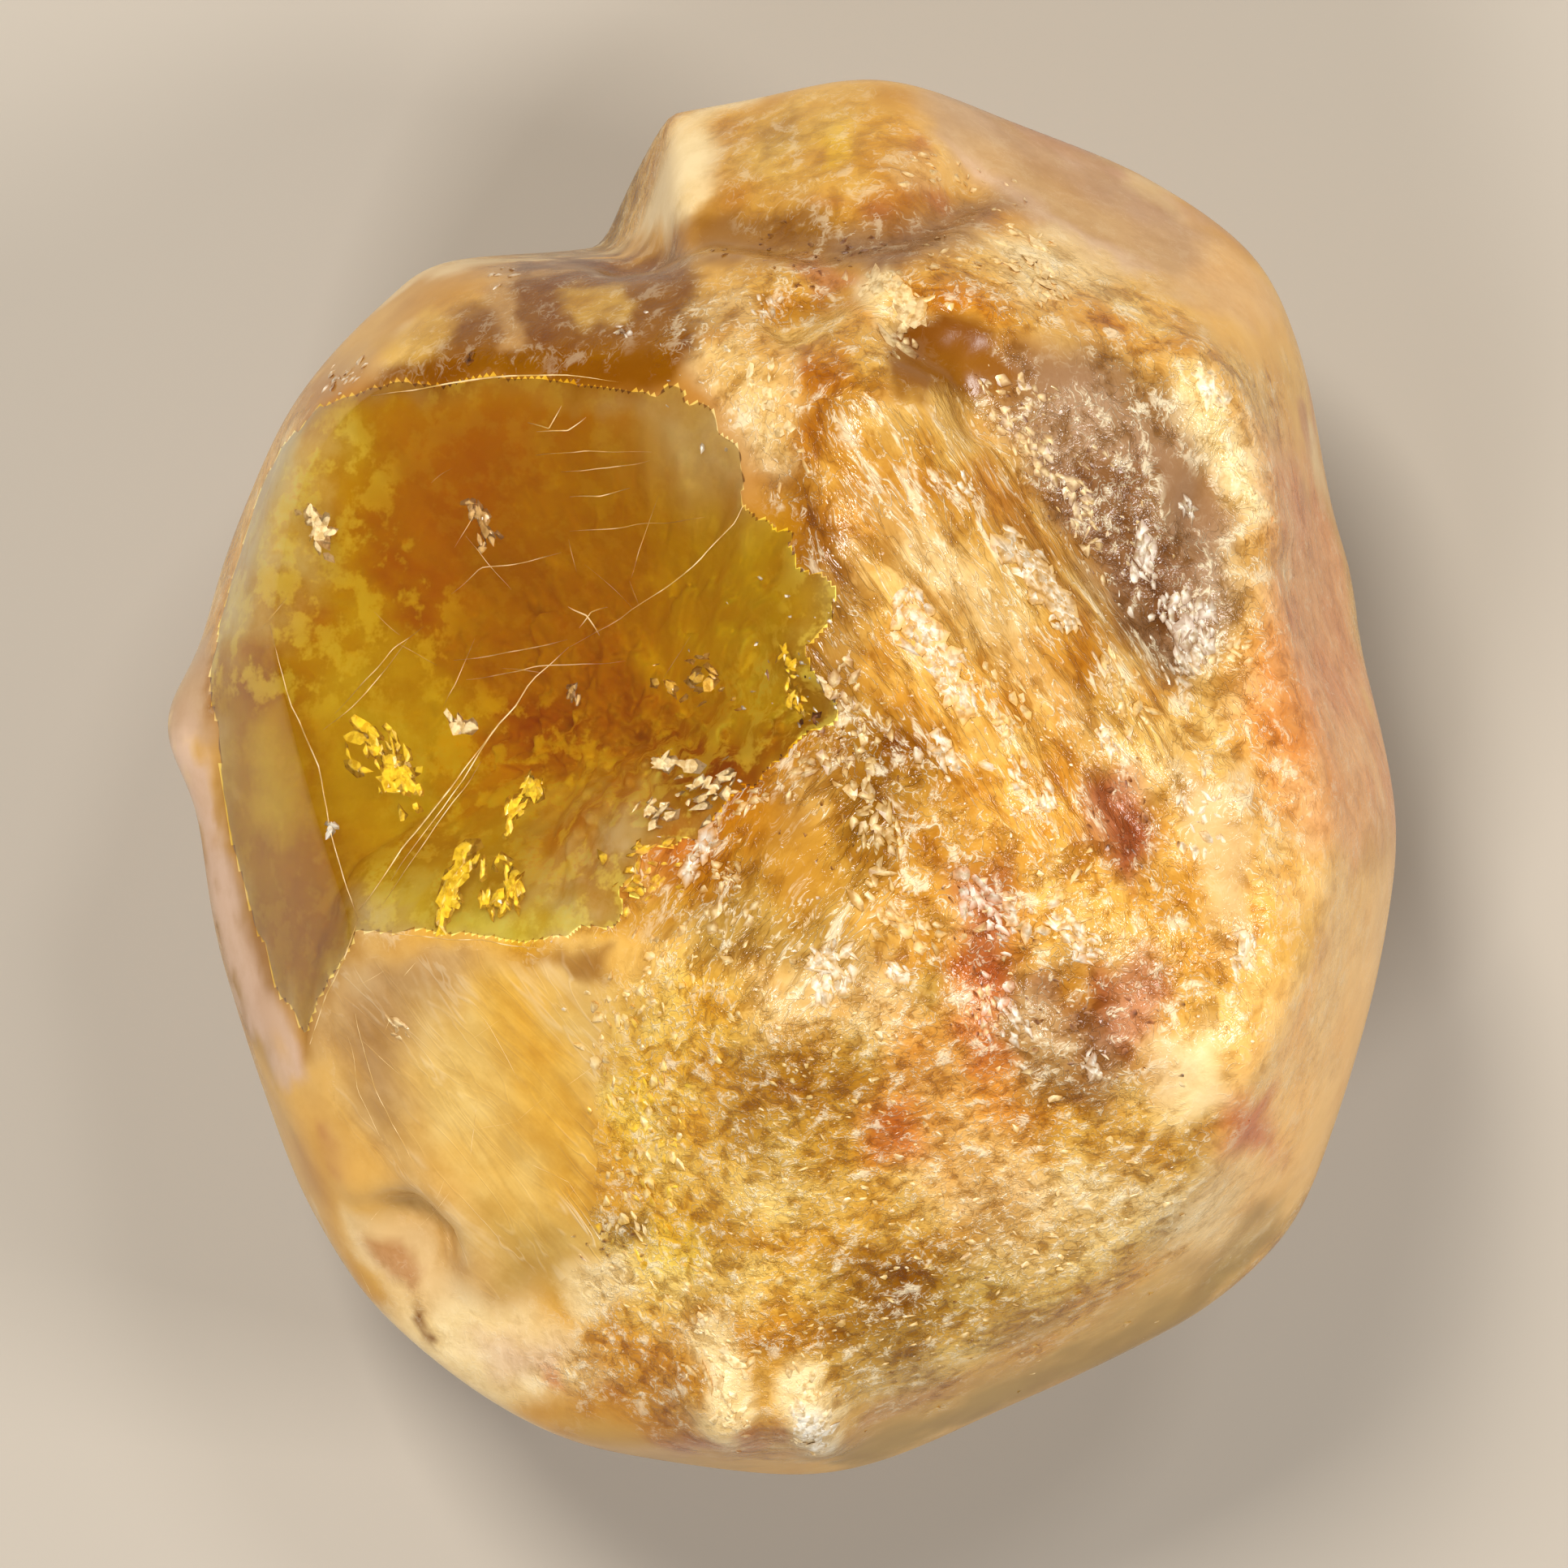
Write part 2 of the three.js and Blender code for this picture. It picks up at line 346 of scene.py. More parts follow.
def mathNode(tree, operation, *values, kind="ShaderNodeMath"):
    inputs = {"_%d" % k: value for k, value in enumerate(values)}
    return addNode(tree, kind, {"operation": operation}, **inputs).outputs[0]


def vectorMath(tree, operation, *values):
    return mathNode(tree, operation, *values, kind="ShaderNodeVectorMath")


def noise(tree, place, scale, detail, roughness=0.5, distortion=0.0):
    return addNode(tree, "ShaderNodeTexNoise", Vector=place, Scale=scale, Detail=detail, Roughness=roughness,
                   Distortion=distortion).outputs["Fac"]


def painted(tree, name, output="Fac"):
    # what addMask or addTint has stored under this name
    return addNode(tree, "ShaderNodeAttribute", {"attribute_name": name}).outputs[output]


def ramp(tree, value, low, high):
    # 0 at low, 1 at high, an S-curve between; low may be the larger one
    node = addNode(tree, "ShaderNodeMapRange", {"interpolation_type": "SMOOTHSTEP"}, Value=value)
    node.inputs["From Min"].default_value = low
    node.inputs["From Max"].default_value = high
    return node.outputs["Result"]


def mixColours(tree, share, first, second, blend="MIX"):
    # a mix node has its colours in sockets 6 and 7, and its vectors in 4 and 5
    node = tree.nodes.new("ShaderNodeMix")
    node.data_type = "RGBA"
    node.blend_type = blend
    for index, value in ((0, share), (6, first), (7, second)):
        if isinstance(value, bpy.types.NodeSocket):
            tree.links.new(value, node.inputs[index])
        else:
            node.inputs[index].default_value = value
    return node.outputs[2]


def mixVectors(tree, share, first, second):
    node = tree.nodes.new("ShaderNodeMix")
    node.data_type = "VECTOR"
    for index, value in ((0, share), (4, first), (5, second)):
        tree.links.new(value, node.inputs[index])
    return node.outputs[1]


def linear(red, green, blue):
    # a screen colour of 0 to 255 as linear light
    return np.array([(c / 255 / 12.92) if c < 11 else ((c / 255 + 0.055) / 1.055) ** 2.4
                     for c in (red, green, blue)])


def underGlass(tree, colour):
    # the pigment that shows as this colour beneath a polished skin, which sends much of the light back in:
    # colour / (0.26 + 0.7 colour)
    lostLight, sentBack = (0.26,) * 3, (0.7,) * 3
    return vectorMath(tree, "DIVIDE", colour, vectorMath(tree, "MULTIPLY_ADD", colour, sentBack, lostLight))


# Crystals of the cloudy stone: soft marks, and thin folds where a second noise passes its middle value
def makeCrystalGroup():
    group, given, out = newGroup(
        "stone crystals",
        [("Vector", "NodeSocketVector", None), ("Size", "NodeSocketFloat", 0.4)],
        [("Dark", "NodeSocketFloat"), ("Pale", "NodeSocketFloat"), ("Height", "NodeSocketFloat")])
    scale = mathNode(group, "DIVIDE", 1000.0, given["Size"])   # size is in millimetres, coordinates in metres
    marks = noise(group, given["Vector"], scale, 4.0, 0.62, 0.4)
    second = noise(group, given["Vector"], mathNode(group, "MULTIPLY", scale, 1.7), 2.0, 0.6, 0.9)
    away = mathNode(group, "ABSOLUTE", mathNode(group, "SUBTRACT", second, 0.5))
    folds = ramp(group, away, 0.045, 0.0)
    # painted highlight: the raised folds are drawn pale, as if lit along their ridges
    foldHighlight = mathNode(group, "MULTIPLY", folds, ramp(group, marks, 0.46, 0.58))
    group.links.new(ramp(group, marks, 0.5, 0.36), out["Dark"])
    group.links.new(mathNode(group, "MAXIMUM", ramp(group, marks, 0.56, 0.68), foldHighlight), out["Pale"])
    group.links.new(mathNode(group, "MULTIPLY_ADD", folds, 0.12, marks), out["Height"])
    return group


crystalGroup = makeCrystalGroup()


# Clear outer stone: plain glass that absorbs blue first
glass = {
    "refraction": 1.74,
    "reflection": 0.07,                        # 0.5 is the full reflection of the polish
    "roughness": 0.03,
    "tint": (1, 0.985, 0.95, 1),
    "absorbColour": (0.965, 0.885, 0.16, 1),
    "absorbDensity": 600.0,                    # per metre
    "polishScale": 900.0,                      # polish marks: how many to a metre
    "polishHeight": 0.00004,                   # their height in metres
    "polishMarks": 0.10,                       # and how strongly they show
    "sunk": 0.012,                             # mm under the cloudy stone where that comes to the surface
}


def makeSkinMaterial():
    material, tree, place = newMaterial("polished_garnet")
    marks = noise(tree, place, glass["polishScale"], 1.0)
    softened = addNode(tree, "ShaderNodeBump", Strength=glass["polishMarks"], Distance=glass["polishHeight"],
                       Height=marks)
    shader = addNode(tree, "ShaderNodeBsdfPrincipled", Normal=softened.outputs["Normal"])
    shader.inputs["Base Color"].default_value = glass["tint"]
    shader.inputs["Roughness"].default_value = glass["roughness"]
    shader.inputs["IOR"].default_value = glass["refraction"]
    shader.inputs["Specular IOR Level"].default_value = glass["reflection"]
    shader.inputs["Transmission Weight"].default_value = 1.0
    absorb = addNode(tree, "ShaderNodeVolumeAbsorption")
    absorb.inputs["Color"].default_value = glass["absorbColour"]
    absorb.inputs["Density"].default_value = glass["absorbDensity"]
    addNode(tree, "ShaderNodeOutputMaterial", Surface=shader.outputs[0], Volume=absorb.outputs[0])
    return material


# Cloudy stone: it comes to the surface over most of the stone and lies deeper behind the clear places
cloud = {
    "edgeWander": 0.16,                        # mm that the edges of the patches wander
    "rimWander": 3.0,                          # how much more they wander below the rim
    "raggedFront": 0.8,                        # mm up and down of the line where the drawn front ends
    "lumps": 0.10,                             # mm of relief behind the clear places
    "fineLumps": 0.05,
    "crumble": 0.4,                            # mm that the bottom of the clear places goes up and down
    "behindClear": 0.009,                      # mm of depth from which a face lies behind clear stone
    "groundTints": 0.7,                        # how strongly the tints of the ground show
    "blotches": 0.5,                           # how much the grainy stone darkens and pales in turns
    "backGrain": 0.85,                         # strongest grain on the back
    "grainSize": 0.42,                         # mm
    "grainHeight": 0.0001,                     # metres
    "darkGrain": (0.54, 0.4, 0.16, 1),         # multiplies the colour
    "darkShare": 0.75,
    # pale crystals, and the painted highlights on the folds
    "paleGrainAndHighlight": (1.0, 0.86, 0.58, 1),
    "paleShare": 0.6,
    "veilColour": (0.68, 0.55, 0.28, 1),       # multiplies the colour
    "veilScale": 1100.0,                       # veils to a metre
    "crumbColour": (0.7, 0.4, 0.03, 1),        # is added to the colour behind clear stone
    "crumbScale": 1600.0,
}

# Screen colours, red, green and blue; the deep ones are for the stone behind the window
palette = {
    "honey": (230, 176, 84), "cream": (255, 228, 172), "glintWhite": (255, 246, 226), "olive": (146, 104, 26),
    "brown": (150, 98, 34), "darkBrown": (136, 82, 14), "redBrown": (178, 104, 66),
    "rust": (210, 112, 54), "orange": (228, 150, 84), "mauve": (150, 114, 84), "peach": (236, 164, 96),
    "gold": (226, 176, 74), "yellow": (255, 208, 46), "beige": (212, 168, 102),
    "greenBeigeAndSheen": (164, 126, 46), "amber": (194, 132, 34), "speckle": (230, 184, 86),
    "pinkWhiteAndSheen": (222, 186, 160), "milkyGold": (236, 194, 108), "milk": (214, 166, 100),
    "deepAmber": (176, 108, 4), "deepRed": (170, 86, 6), "deepOlive": (210, 152, 14),
    "deepBrown": (164, 104, 6), "deepGold": (250, 186, 30), "strip": (134, 78, 0),
    "deepStrip": (156, 100, 2), "paleGold": (255, 200, 116), "saffron": (236, 184, 76),
    "creamGold": (226, 190, 134), "ochre": (206, 158, 76), "brightGold": (246, 202, 96),
    "pinkBeigeAndSheen": (194, 157, 122), "rustTan": (168, 104, 50), "greyBeige": (190, 152, 104),
    "paintedGlow": (255, 204, 58), "holeShade": (60, 30, 8), "creviceShade": (112, 62, 26),
}

# Clear places, in the order they are cut: depth down to the cloudy stone, width of the slope and raggedness,
# all in mm, and outline in pixels
clearings = [
    ("window", 2.8, 2.6, 0.08, px((450, 470), (560, 462), (700, 460), (800, 474), (850, 560), (870, 700),
        (860, 850), (800, 980), (700, 1160), (600, 1160), (500, 1150), (440, 1150), (415, 1200),
        (374, 1290), (335, 1220), (290, 1080), (258, 930), (248, 830), (262, 720), (290, 620), (340, 540),
        (390, 490))),
    ("ragged side", 2.8, 2.2, 0.45, px((560, 560), (700, 500), (830, 500), (910, 590), (980, 650),
        (1010, 760), (1015, 880), (940, 940), (840, 980), (770, 1040), (700, 1130), (640, 1120))),
    ("milky patch", 1.1, 1.8, 0.3, px((740, 480), (880, 485), (925, 600), (850, 670), (750, 620))),
    ("lower corner", 0.5, 1.6, 0.3, px((640, 960), (860, 930), (940, 960), (740, 1140), (620, 1140))),
]

# Patches of colour, laid on in this order: colour, strength, softness in mm, outline in pixels
patches = [
    # right side and foot
    ("speckle", 0.9, 0.9, px((760, 1270), (1000, 1200), (1250, 1300), (1450, 1350), (1420, 1560),
        (1200, 1690), (1000, 1740), (930, 1600), (780, 1500))),
    ("olive", 0.4, 0.8, px((900, 1280), (1060, 1250), (1100, 1330), (1000, 1420), (900, 1400))),
    ("peach", 0.5, 0.6, px((1080, 1240), (1260, 1280), (1300, 1480), (1200, 1560), (1080, 1420))),
    ("creamGold", 0.6, 0.5, px((900, 1190), (1100, 1180), (1120, 1260), (940, 1290))),
    ("creamGold", 0.5, 0.5, px((1180, 1480), (1400, 1400), (1440, 1500), (1260, 1580))),
    ("brown", 0.5, 0.4, px((1000, 1640), (1120, 1620), (1160, 1700), (1040, 1740))),
    ("olive", 0.6, 0.6, px((1020, 1560), (1220, 1500), (1260, 1600), (1120, 1680), (1040, 1660))),
    ("olive", 0.6, 0.5, px((1020, 900), (1130, 850), (1180, 950), (1120, 1050), (1040, 1020))),
    ("olive", 0.6, 0.5, px((940, 620), (1020, 640), (1060, 760), (1040, 900), (960, 980), (900, 1000),
        (960, 880), (980, 760))),
    ("amber", 0.7, 0.4, px((900, 1000), (960, 970), (1040, 1000), (1050, 1080), (980, 1130), (910, 1080))),
    ("honey", 0.8, 0.8, px((1100, 330), (1400, 330), (1560, 450), (1600, 1000), (1500, 1300), (1300, 1200),
        (1200, 900), (1060, 560))),
    ("mauve", 0.9, 0.45, px((1210, 420), (1330, 420), (1440, 490), (1510, 600), (1530, 720), (1500, 820),
        (1430, 840), (1370, 760), (1290, 620), (1220, 520))),
    ("brown", 0.7, 0.4, px((1120, 405), (1240, 405), (1400, 450), (1490, 560), (1490, 650), (1400, 640),
        (1280, 520), (1180, 490))),
    ("ochre", 0.85, 0.45, px((1000, 500), (1100, 480), (1180, 540), (1290, 680), (1400, 830), (1390, 930),
        (1290, 850), (1150, 740), (1040, 620))),
    ("honey", 0.7, 0.5, px((1000, 560), (1060, 600), (1150, 720), (1300, 900), (1340, 1010), (1200, 980),
        (1080, 800), (1000, 660))),
    ("creamGold", 0.5, 0.4, px((1060, 600), (1120, 620), (1260, 760), (1350, 900), (1340, 940), (1230, 830),
        (1100, 700))),
    ("mauve", 0.7, 0.4, px((1230, 440), (1330, 430), (1440, 520), (1500, 640), (1500, 780), (1430, 800),
        (1350, 700), (1280, 560))),
    ("peach", 0.9, 0.5, px((1540, 520), (1620, 560), (1690, 800), (1720, 1000), (1660, 1080), (1560, 1000),
        (1520, 880), (1560, 700))),
    ("orange", 0.6, 0.4, px((1580, 600), (1650, 640), (1690, 860), (1640, 920), (1580, 800))),
    ("paleGold", 0.85, 0.5, px((1540, 1090), (1740, 1060), (1700, 1250), (1620, 1450), (1500, 1500),
        (1480, 1400), (1540, 1250))),
    ("gold", 0.6, 0.4, px((1560, 1130), (1620, 1120), (1610, 1200), (1560, 1220))),
    ("cream", 0.95, 0.25, px((1430, 430), (1480, 440), (1530, 520), (1570, 640), (1540, 650), (1490, 560),
        (1440, 500))),
    ("creamGold", 0.95, 0.12, px((1430, 935), (1480, 955), (1530, 950), (1540, 1060), (1535, 1190),
        (1500, 1200), (1470, 1090))),
    ("honey", 0.6, 0.4, px((1400, 1020), (1450, 1000), (1530, 1200), (1500, 1300), (1400, 1200),
        (1360, 1100))),
    ("redBrown", 0.95, 0.3, px((1340, 940), (1400, 950), (1420, 1030), (1400, 1100), (1340, 1040))),
    ("redBrown", 0.85, 0.35, px((1170, 1080), (1230, 1060), (1260, 1140), (1230, 1230), (1180, 1200))),
    ("redBrown", 0.9, 0.35, px((1340, 1200), (1420, 1170), (1450, 1230), (1400, 1320), (1330, 1290))),
    ("mauve", 0.7, 0.4, px((1220, 1200), (1320, 1180), (1400, 1300), (1360, 1380), (1260, 1330),
        (1210, 1270))),
    ("rust", 0.8, 0.3, px((1180, 1190), (1220, 1190), (1240, 1290), (1200, 1320), (1170, 1260))),
    ("rust", 0.6, 0.3, px((1070, 1370), (1130, 1360), (1140, 1420), (1080, 1430))),
    ("rust", 0.8, 0.3, px((1500, 1350), (1560, 1350), (1570, 1420), (1510, 1420))),
    ("amber", 0.8, 0.2, px((1290, 1190), (1350, 1190), (1350, 1230), (1300, 1240))),
    ("cream", 0.8, 0.35, px((1430, 1280), (1500, 1270), (1520, 1360), (1440, 1380))),
    ("cream", 0.6, 0.5, px((1440, 1480), (1560, 1440), (1520, 1540), (1440, 1560))),
    # golden face and its surroundings
    ("gold", 0.9, 0.4, px((730, 1270), (800, 1240), (840, 1300), (800, 1420), (900, 1480), (900, 1600),
        (800, 1560), (720, 1520), (740, 1400))),
    ("brightGold", 0.8, 0.4, px((735, 1260), (840, 1180), (900, 1200), (880, 1300), (840, 1450),
        (860, 1600), (780, 1640), (730, 1500))),
    ("yellow", 0.6, 0.2, px((740, 1330), (790, 1310), (800, 1380), (760, 1440), (735, 1400))),
    ("yellow", 0.5, 0.2, px((800, 1500), (860, 1490), (870, 1560), (810, 1580))),
    ("olive", 0.8, 0.2, px((720, 1500), (790, 1490), (795, 1520), (750, 1555), (715, 1550))),
    ("beige", 1.0, 0.3, px((400, 1170), (520, 1160), (735, 1165), (735, 1300), (710, 1500), (640, 1640),
        (560, 1640), (440, 1500), (370, 1320))),
    ("greyBeige", 0.8, 0.5, px((430, 1180), (560, 1180), (520, 1300), (470, 1420), (420, 1320))),
    ("milkyGold", 1.0, 0.8, px((520, 1260), (620, 1190), (745, 1220), (740, 1560), (640, 1560), (560, 1460),
        (510, 1370))),
    ("saffron", 0.8, 0.4, px((580, 1200), (640, 1180), (740, 1400), (735, 1540), (700, 1500), (630, 1360))),
    ("greenBeigeAndSheen", 0.5, 0.4, px((590, 1480), (710, 1520), (700, 1600), (620, 1590))),
    ("brown", 0.8, 0.15, px((640, 1166), (745, 1172), (752, 1215), (700, 1195))),
    ("honey", 0.8, 0.4, px((375, 1310), (420, 1290), (460, 1400), (500, 1500), (420, 1500))),
    ("cream", 0.95, 0.35, px((420, 1500), (560, 1590), (700, 1640), (740, 1700), (640, 1730), (500, 1660))),
    ("pinkWhiteAndSheen", 0.6, 0.3, px((580, 1640), (690, 1650), (700, 1690), (620, 1700))),
    ("rust", 0.7, 0.12, px((672, 1685), (690, 1680), (700, 1715), (680, 1712))),
    ("cream", 0.85, 0.2, px((690, 1565), (770, 1560), (780, 1600), (710, 1620))),
    ("ochre", 0.8, 0.2, px((690, 1735), (790, 1765), (920, 1820), (860, 1850), (720, 1810))),
    ("cream", 0.95, 0.15, px((850, 1640), (885, 1622), (905, 1662), (920, 1700), (938, 1745), (900, 1785),
        (862, 1755), (875, 1700))),
    ("ochre", 0.7, 0.2, px((915, 1640), (945, 1650), (950, 1720), (965, 1790), (935, 1795), (930, 1700))),
    ("cream", 0.9, 0.15, px((955, 1705), (985, 1672), (1015, 1700), (1046, 1738), (1030, 1790), (985, 1796),
        (968, 1750))),
    # painted highlight: a white glint on the lump at the foot
    ("glintWhite", 1.0, 0.15, px((985, 1735), (1020, 1735), (1025, 1780), (990, 1785))),
    ("creamGold", 0.8, 0.18, px((430, 1500), (480, 1488), (540, 1530), (550, 1600), (520, 1640),
        (440, 1560))),
    ("rustTan", 0.75, 0.16, px((450, 1525), (490, 1520), (512, 1560), (500, 1590), (465, 1570))),
    ("darkBrown", 0.9, 0.06, px((500, 1600), (520, 1612), (545, 1640), (535, 1650), (505, 1618))),
    # the window's edge, and the bevels with their painted sheen
    ("brown", 0.75, 0.35, px((440, 480), (560, 470), (700, 470), (840, 470), (920, 590), (990, 660),
        (1020, 800), (1000, 930), (900, 1040), (800, 1110), (790, 1160), (900, 1080), (1030, 980),
        (1070, 800), (1040, 640), (960, 560), (900, 460), (700, 440), (440, 460))),
    # partly the bevel's own pink beige, partly its painted grey-pink sheen
    ("pinkBeigeAndSheen", 0.85, 0.3, px((1130, 100), (1320, 130), (1520, 250), (1620, 420), (1420, 350),
        (1290, 285), (1200, 220), (1150, 160))),
    ("beige", 0.6, 0.5, px((1180, 170), (1300, 200), (1380, 260), (1440, 340), (1330, 290), (1230, 230))),
    ("paleGold", 0.5, 0.4, px((1480, 270), (1560, 330), (1620, 430), (1540, 400), (1470, 350))),
    # painted sheen: pale pink-white lines along the top right bevel
    ("pinkWhiteAndSheen", 0.6, 0.25, px((1120, 90), (1300, 130), (1440, 205), (1530, 270), (1500, 275), (1400, 210),
        (1260, 145))),
    ("pinkWhiteAndSheen", 0.5, 0.15, px((1160, 160), (1200, 215), (1290, 280), (1420, 345), (1410, 330),
        (1300, 262), (1215, 200))),
    # painted sheen: the greenish beige band along the lower bevel
    ("greenBeigeAndSheen", 0.95, 0.35, px((1000, 1790), (1180, 1720), (1440, 1590), (1560, 1490), (1620, 1480),
        (1500, 1640), (1250, 1760), (1050, 1830))),
    # painted sheen: the pink-white band along the left rim
    ("pinkWhiteAndSheen", 0.9, 0.2, px((190, 860), (240, 890), (262, 980), (330, 1200), (375, 1320), (350, 1340),
        (270, 1180), (200, 960))),
    # top lobe and the ground below it
    ("cream", 1.0, 0.3, px((770, 150), (830, 90), (890, 140), (860, 260), (770, 290))),
    # painted highlight: a bright spot on the lobe's left wall
    ("cream", 1.0, 0.15, px((800, 235), (865, 240), (850, 280), (790, 285))),
    ("gold", 0.8, 0.35, px((920, 140), (1100, 130), (1130, 200), (1060, 250), (920, 220))),
    ("yellow", 0.5, 0.1, px((1005, 165), (1040, 160), (1045, 200), (1015, 205))),
    ("brown", 0.4, 0.12, px((930, 150), (980, 140), (990, 170), (950, 185))),
    ("creamGold", 0.6, 0.15, px((1080, 190), (1140, 180), (1170, 220), (1110, 235))),
    # painted shade: the groove under the top lobe, darkened in brown and, further right, mauve
    ("brown", 0.9, 0.2, px((850, 275), (1000, 250), (1090, 300), (1180, 280), (1100, 335), (960, 320),
        (860, 315))),
    ("mauve", 0.6, 0.3, px((1000, 300), (1120, 250), (1250, 240), (1200, 300), (1080, 340))),
    ("cream", 0.95, 0.2, px((1050, 350), (1090, 330), (1120, 370), (1160, 390), (1110, 440), (1070, 400))),
    ("cream", 0.75, 0.2, px((800, 430), (900, 410), (980, 450), (1000, 520), (960, 590), (900, 570),
        (880, 490))),
    ("beige", 0.8, 0.2, px((830, 370), (900, 350), (930, 400), (860, 420))),
    ("redBrown", 0.7, 0.12, px((960, 330), (1010, 325), (1060, 345), (1010, 365))),
    ("cream", 0.8, 0.3, px((1220, 300), (1290, 280), (1380, 340), (1360, 380), (1260, 360))),
    ("honey", 0.7, 0.4, px((1300, 300), (1420, 370), (1560, 420), (1570, 480), (1420, 400), (1280, 350))),
    ("darkBrown", 1.0, 0.15, px((1085, 450), (1105, 400), (1160, 380), (1220, 400), (1240, 470),
        (1205, 515), (1150, 490), (1110, 480))),
    # left of the window
    ("gold", 0.9, 0.5, px((250, 640), (330, 500), (400, 520), (420, 640), (390, 760), (300, 800),
        (250, 800))),
    ("amber", 0.9, 0.4, px((250, 700), (400, 640), (450, 520), (500, 600), (430, 900), (320, 960),
        (250, 860))),
    ("cream", 0.85, 0.2, px((350, 540), (390, 535), (410, 600), (400, 670), (370, 660), (345, 590))),
    ("beige", 0.8, 0.3, px((390, 440), (460, 430), (480, 460), (420, 500), (360, 520))),
    ("pinkBeigeAndSheen", 0.9, 0.3, px((180, 800), (240, 770), (262, 820), (255, 910), (185, 910))),
    # behind the window and the other clear places
    ("deepAmber", 1.0, 0.5, px((360, 470), (560, 460), (860, 470), (980, 640), (1000, 900), (900, 1020),
        (660, 1160), (440, 1140), (330, 1000), (270, 840), (340, 660))),
    ("deepRed", 0.8, 0.7, px((460, 520), (640, 480), (740, 500), (640, 620), (540, 760), (460, 640))),
    ("deepOlive", 0.8, 0.7, px((760, 640), (960, 640), (970, 900), (880, 900), (780, 760))),
    ("deepBrown", 0.6, 0.6, px((560, 700), (760, 600), (800, 700), (700, 800), (560, 800))),
    ("deepGold", 0.7, 0.7, px((400, 800), (520, 830), (660, 940), (700, 1120), (480, 1120), (400, 1000))),
    ("yellow", 0.75, 0.12, px((425, 880), (470, 872), (505, 915), (535, 960), (522, 1015), (480, 1000),
        (455, 950))),
    ("yellow", 0.9, 0.12, px((540, 1140), (560, 1080), (590, 1035), (650, 955), (690, 980), (650, 1080),
        (705, 1095), (700, 1140), (620, 1150))),
    ("deepGold", 0.8, 0.3, px((780, 800), (850, 770), (940, 790), (960, 880), (900, 900), (820, 880))),
    ("deepGold", 0.5, 0.4, px((390, 500), (430, 500), (470, 800), (410, 800))),
    ("paleGold", 0.8, 0.5, px((270, 620), (340, 520), (400, 520), (400, 700), (330, 780), (260, 780))),
    # painted light: a golden glow in the window's lower part, from light passing through the stone
    ("paintedGlow", 0.6, 0.5, px((470, 1050), (560, 1080), (640, 1040), (740, 1060), (720, 1150), (460, 1150))),
    ("paleGold", 0.9, 0.12, px((350, 535), (390, 530), (412, 600), (405, 660), (375, 655), (345, 590))),
    ("paleGold", 0.7, 0.12, px((300, 640), (340, 630), (350, 690), (320, 720))),
    ("deepRed", 0.6, 0.3, px((300, 700), (380, 700), (400, 790), (330, 800))),
    ("milk", 0.75, 0.8, px((790, 490), (900, 500), (930, 600), (850, 630), (800, 580))),
    ("paleGold", 0.85, 0.5, px((650, 970), (780, 920), (820, 960), (760, 1060), (700, 1130), (640, 1120))),
    ("amber", 0.9, 0.3, px((790, 960), (900, 950), (960, 1000), (900, 1080), (800, 1150), (700, 1150),
        (740, 1060))),
    ("peach", 0.5, 0.25, px((810, 1010), (870, 990), (860, 1050), (800, 1090))),
    ("orange", 0.8, 0.4, px((670, 1010), (760, 950), (810, 980), (790, 1060), (730, 1120), (680, 1080))),
    ("paleGold", 0.4, 0.15, px((720, 1010), (790, 1000), (800, 1050), (740, 1070))),
    ("beige", 0.9, 0.3, px((425, 1105), (475, 1100), (500, 1165), (430, 1175))),
    ("deepStrip", 1.0, 0.3, px((255, 860), (310, 800), (345, 850), (378, 930), (400, 1010), (418, 1090),
        (432, 1140), (412, 1200), (376, 1300), (320, 1180), (280, 1030))),
    ("deepGold", 0.5, 0.3, px((300, 900), (330, 880), (370, 1000), (350, 1040), (310, 1000))),
    ("strip", 1.0, 0.25, px((440, 485), (560, 385), (640, 320), (740, 320), (840, 305), (860, 340),
        (850, 440), (830, 485), (700, 475), (560, 475))),
    ("milk", 0.6, 0.12, px((600, 330), (632, 330), (640, 420), (610, 430))),
    ("gold", 0.7, 0.12, px((470, 420), (520, 385), (560, 400), (530, 440), (480, 450))),
    ("gold", 0.6, 0.12, px((700, 360), (760, 350), (770, 390), (710, 400))),
]

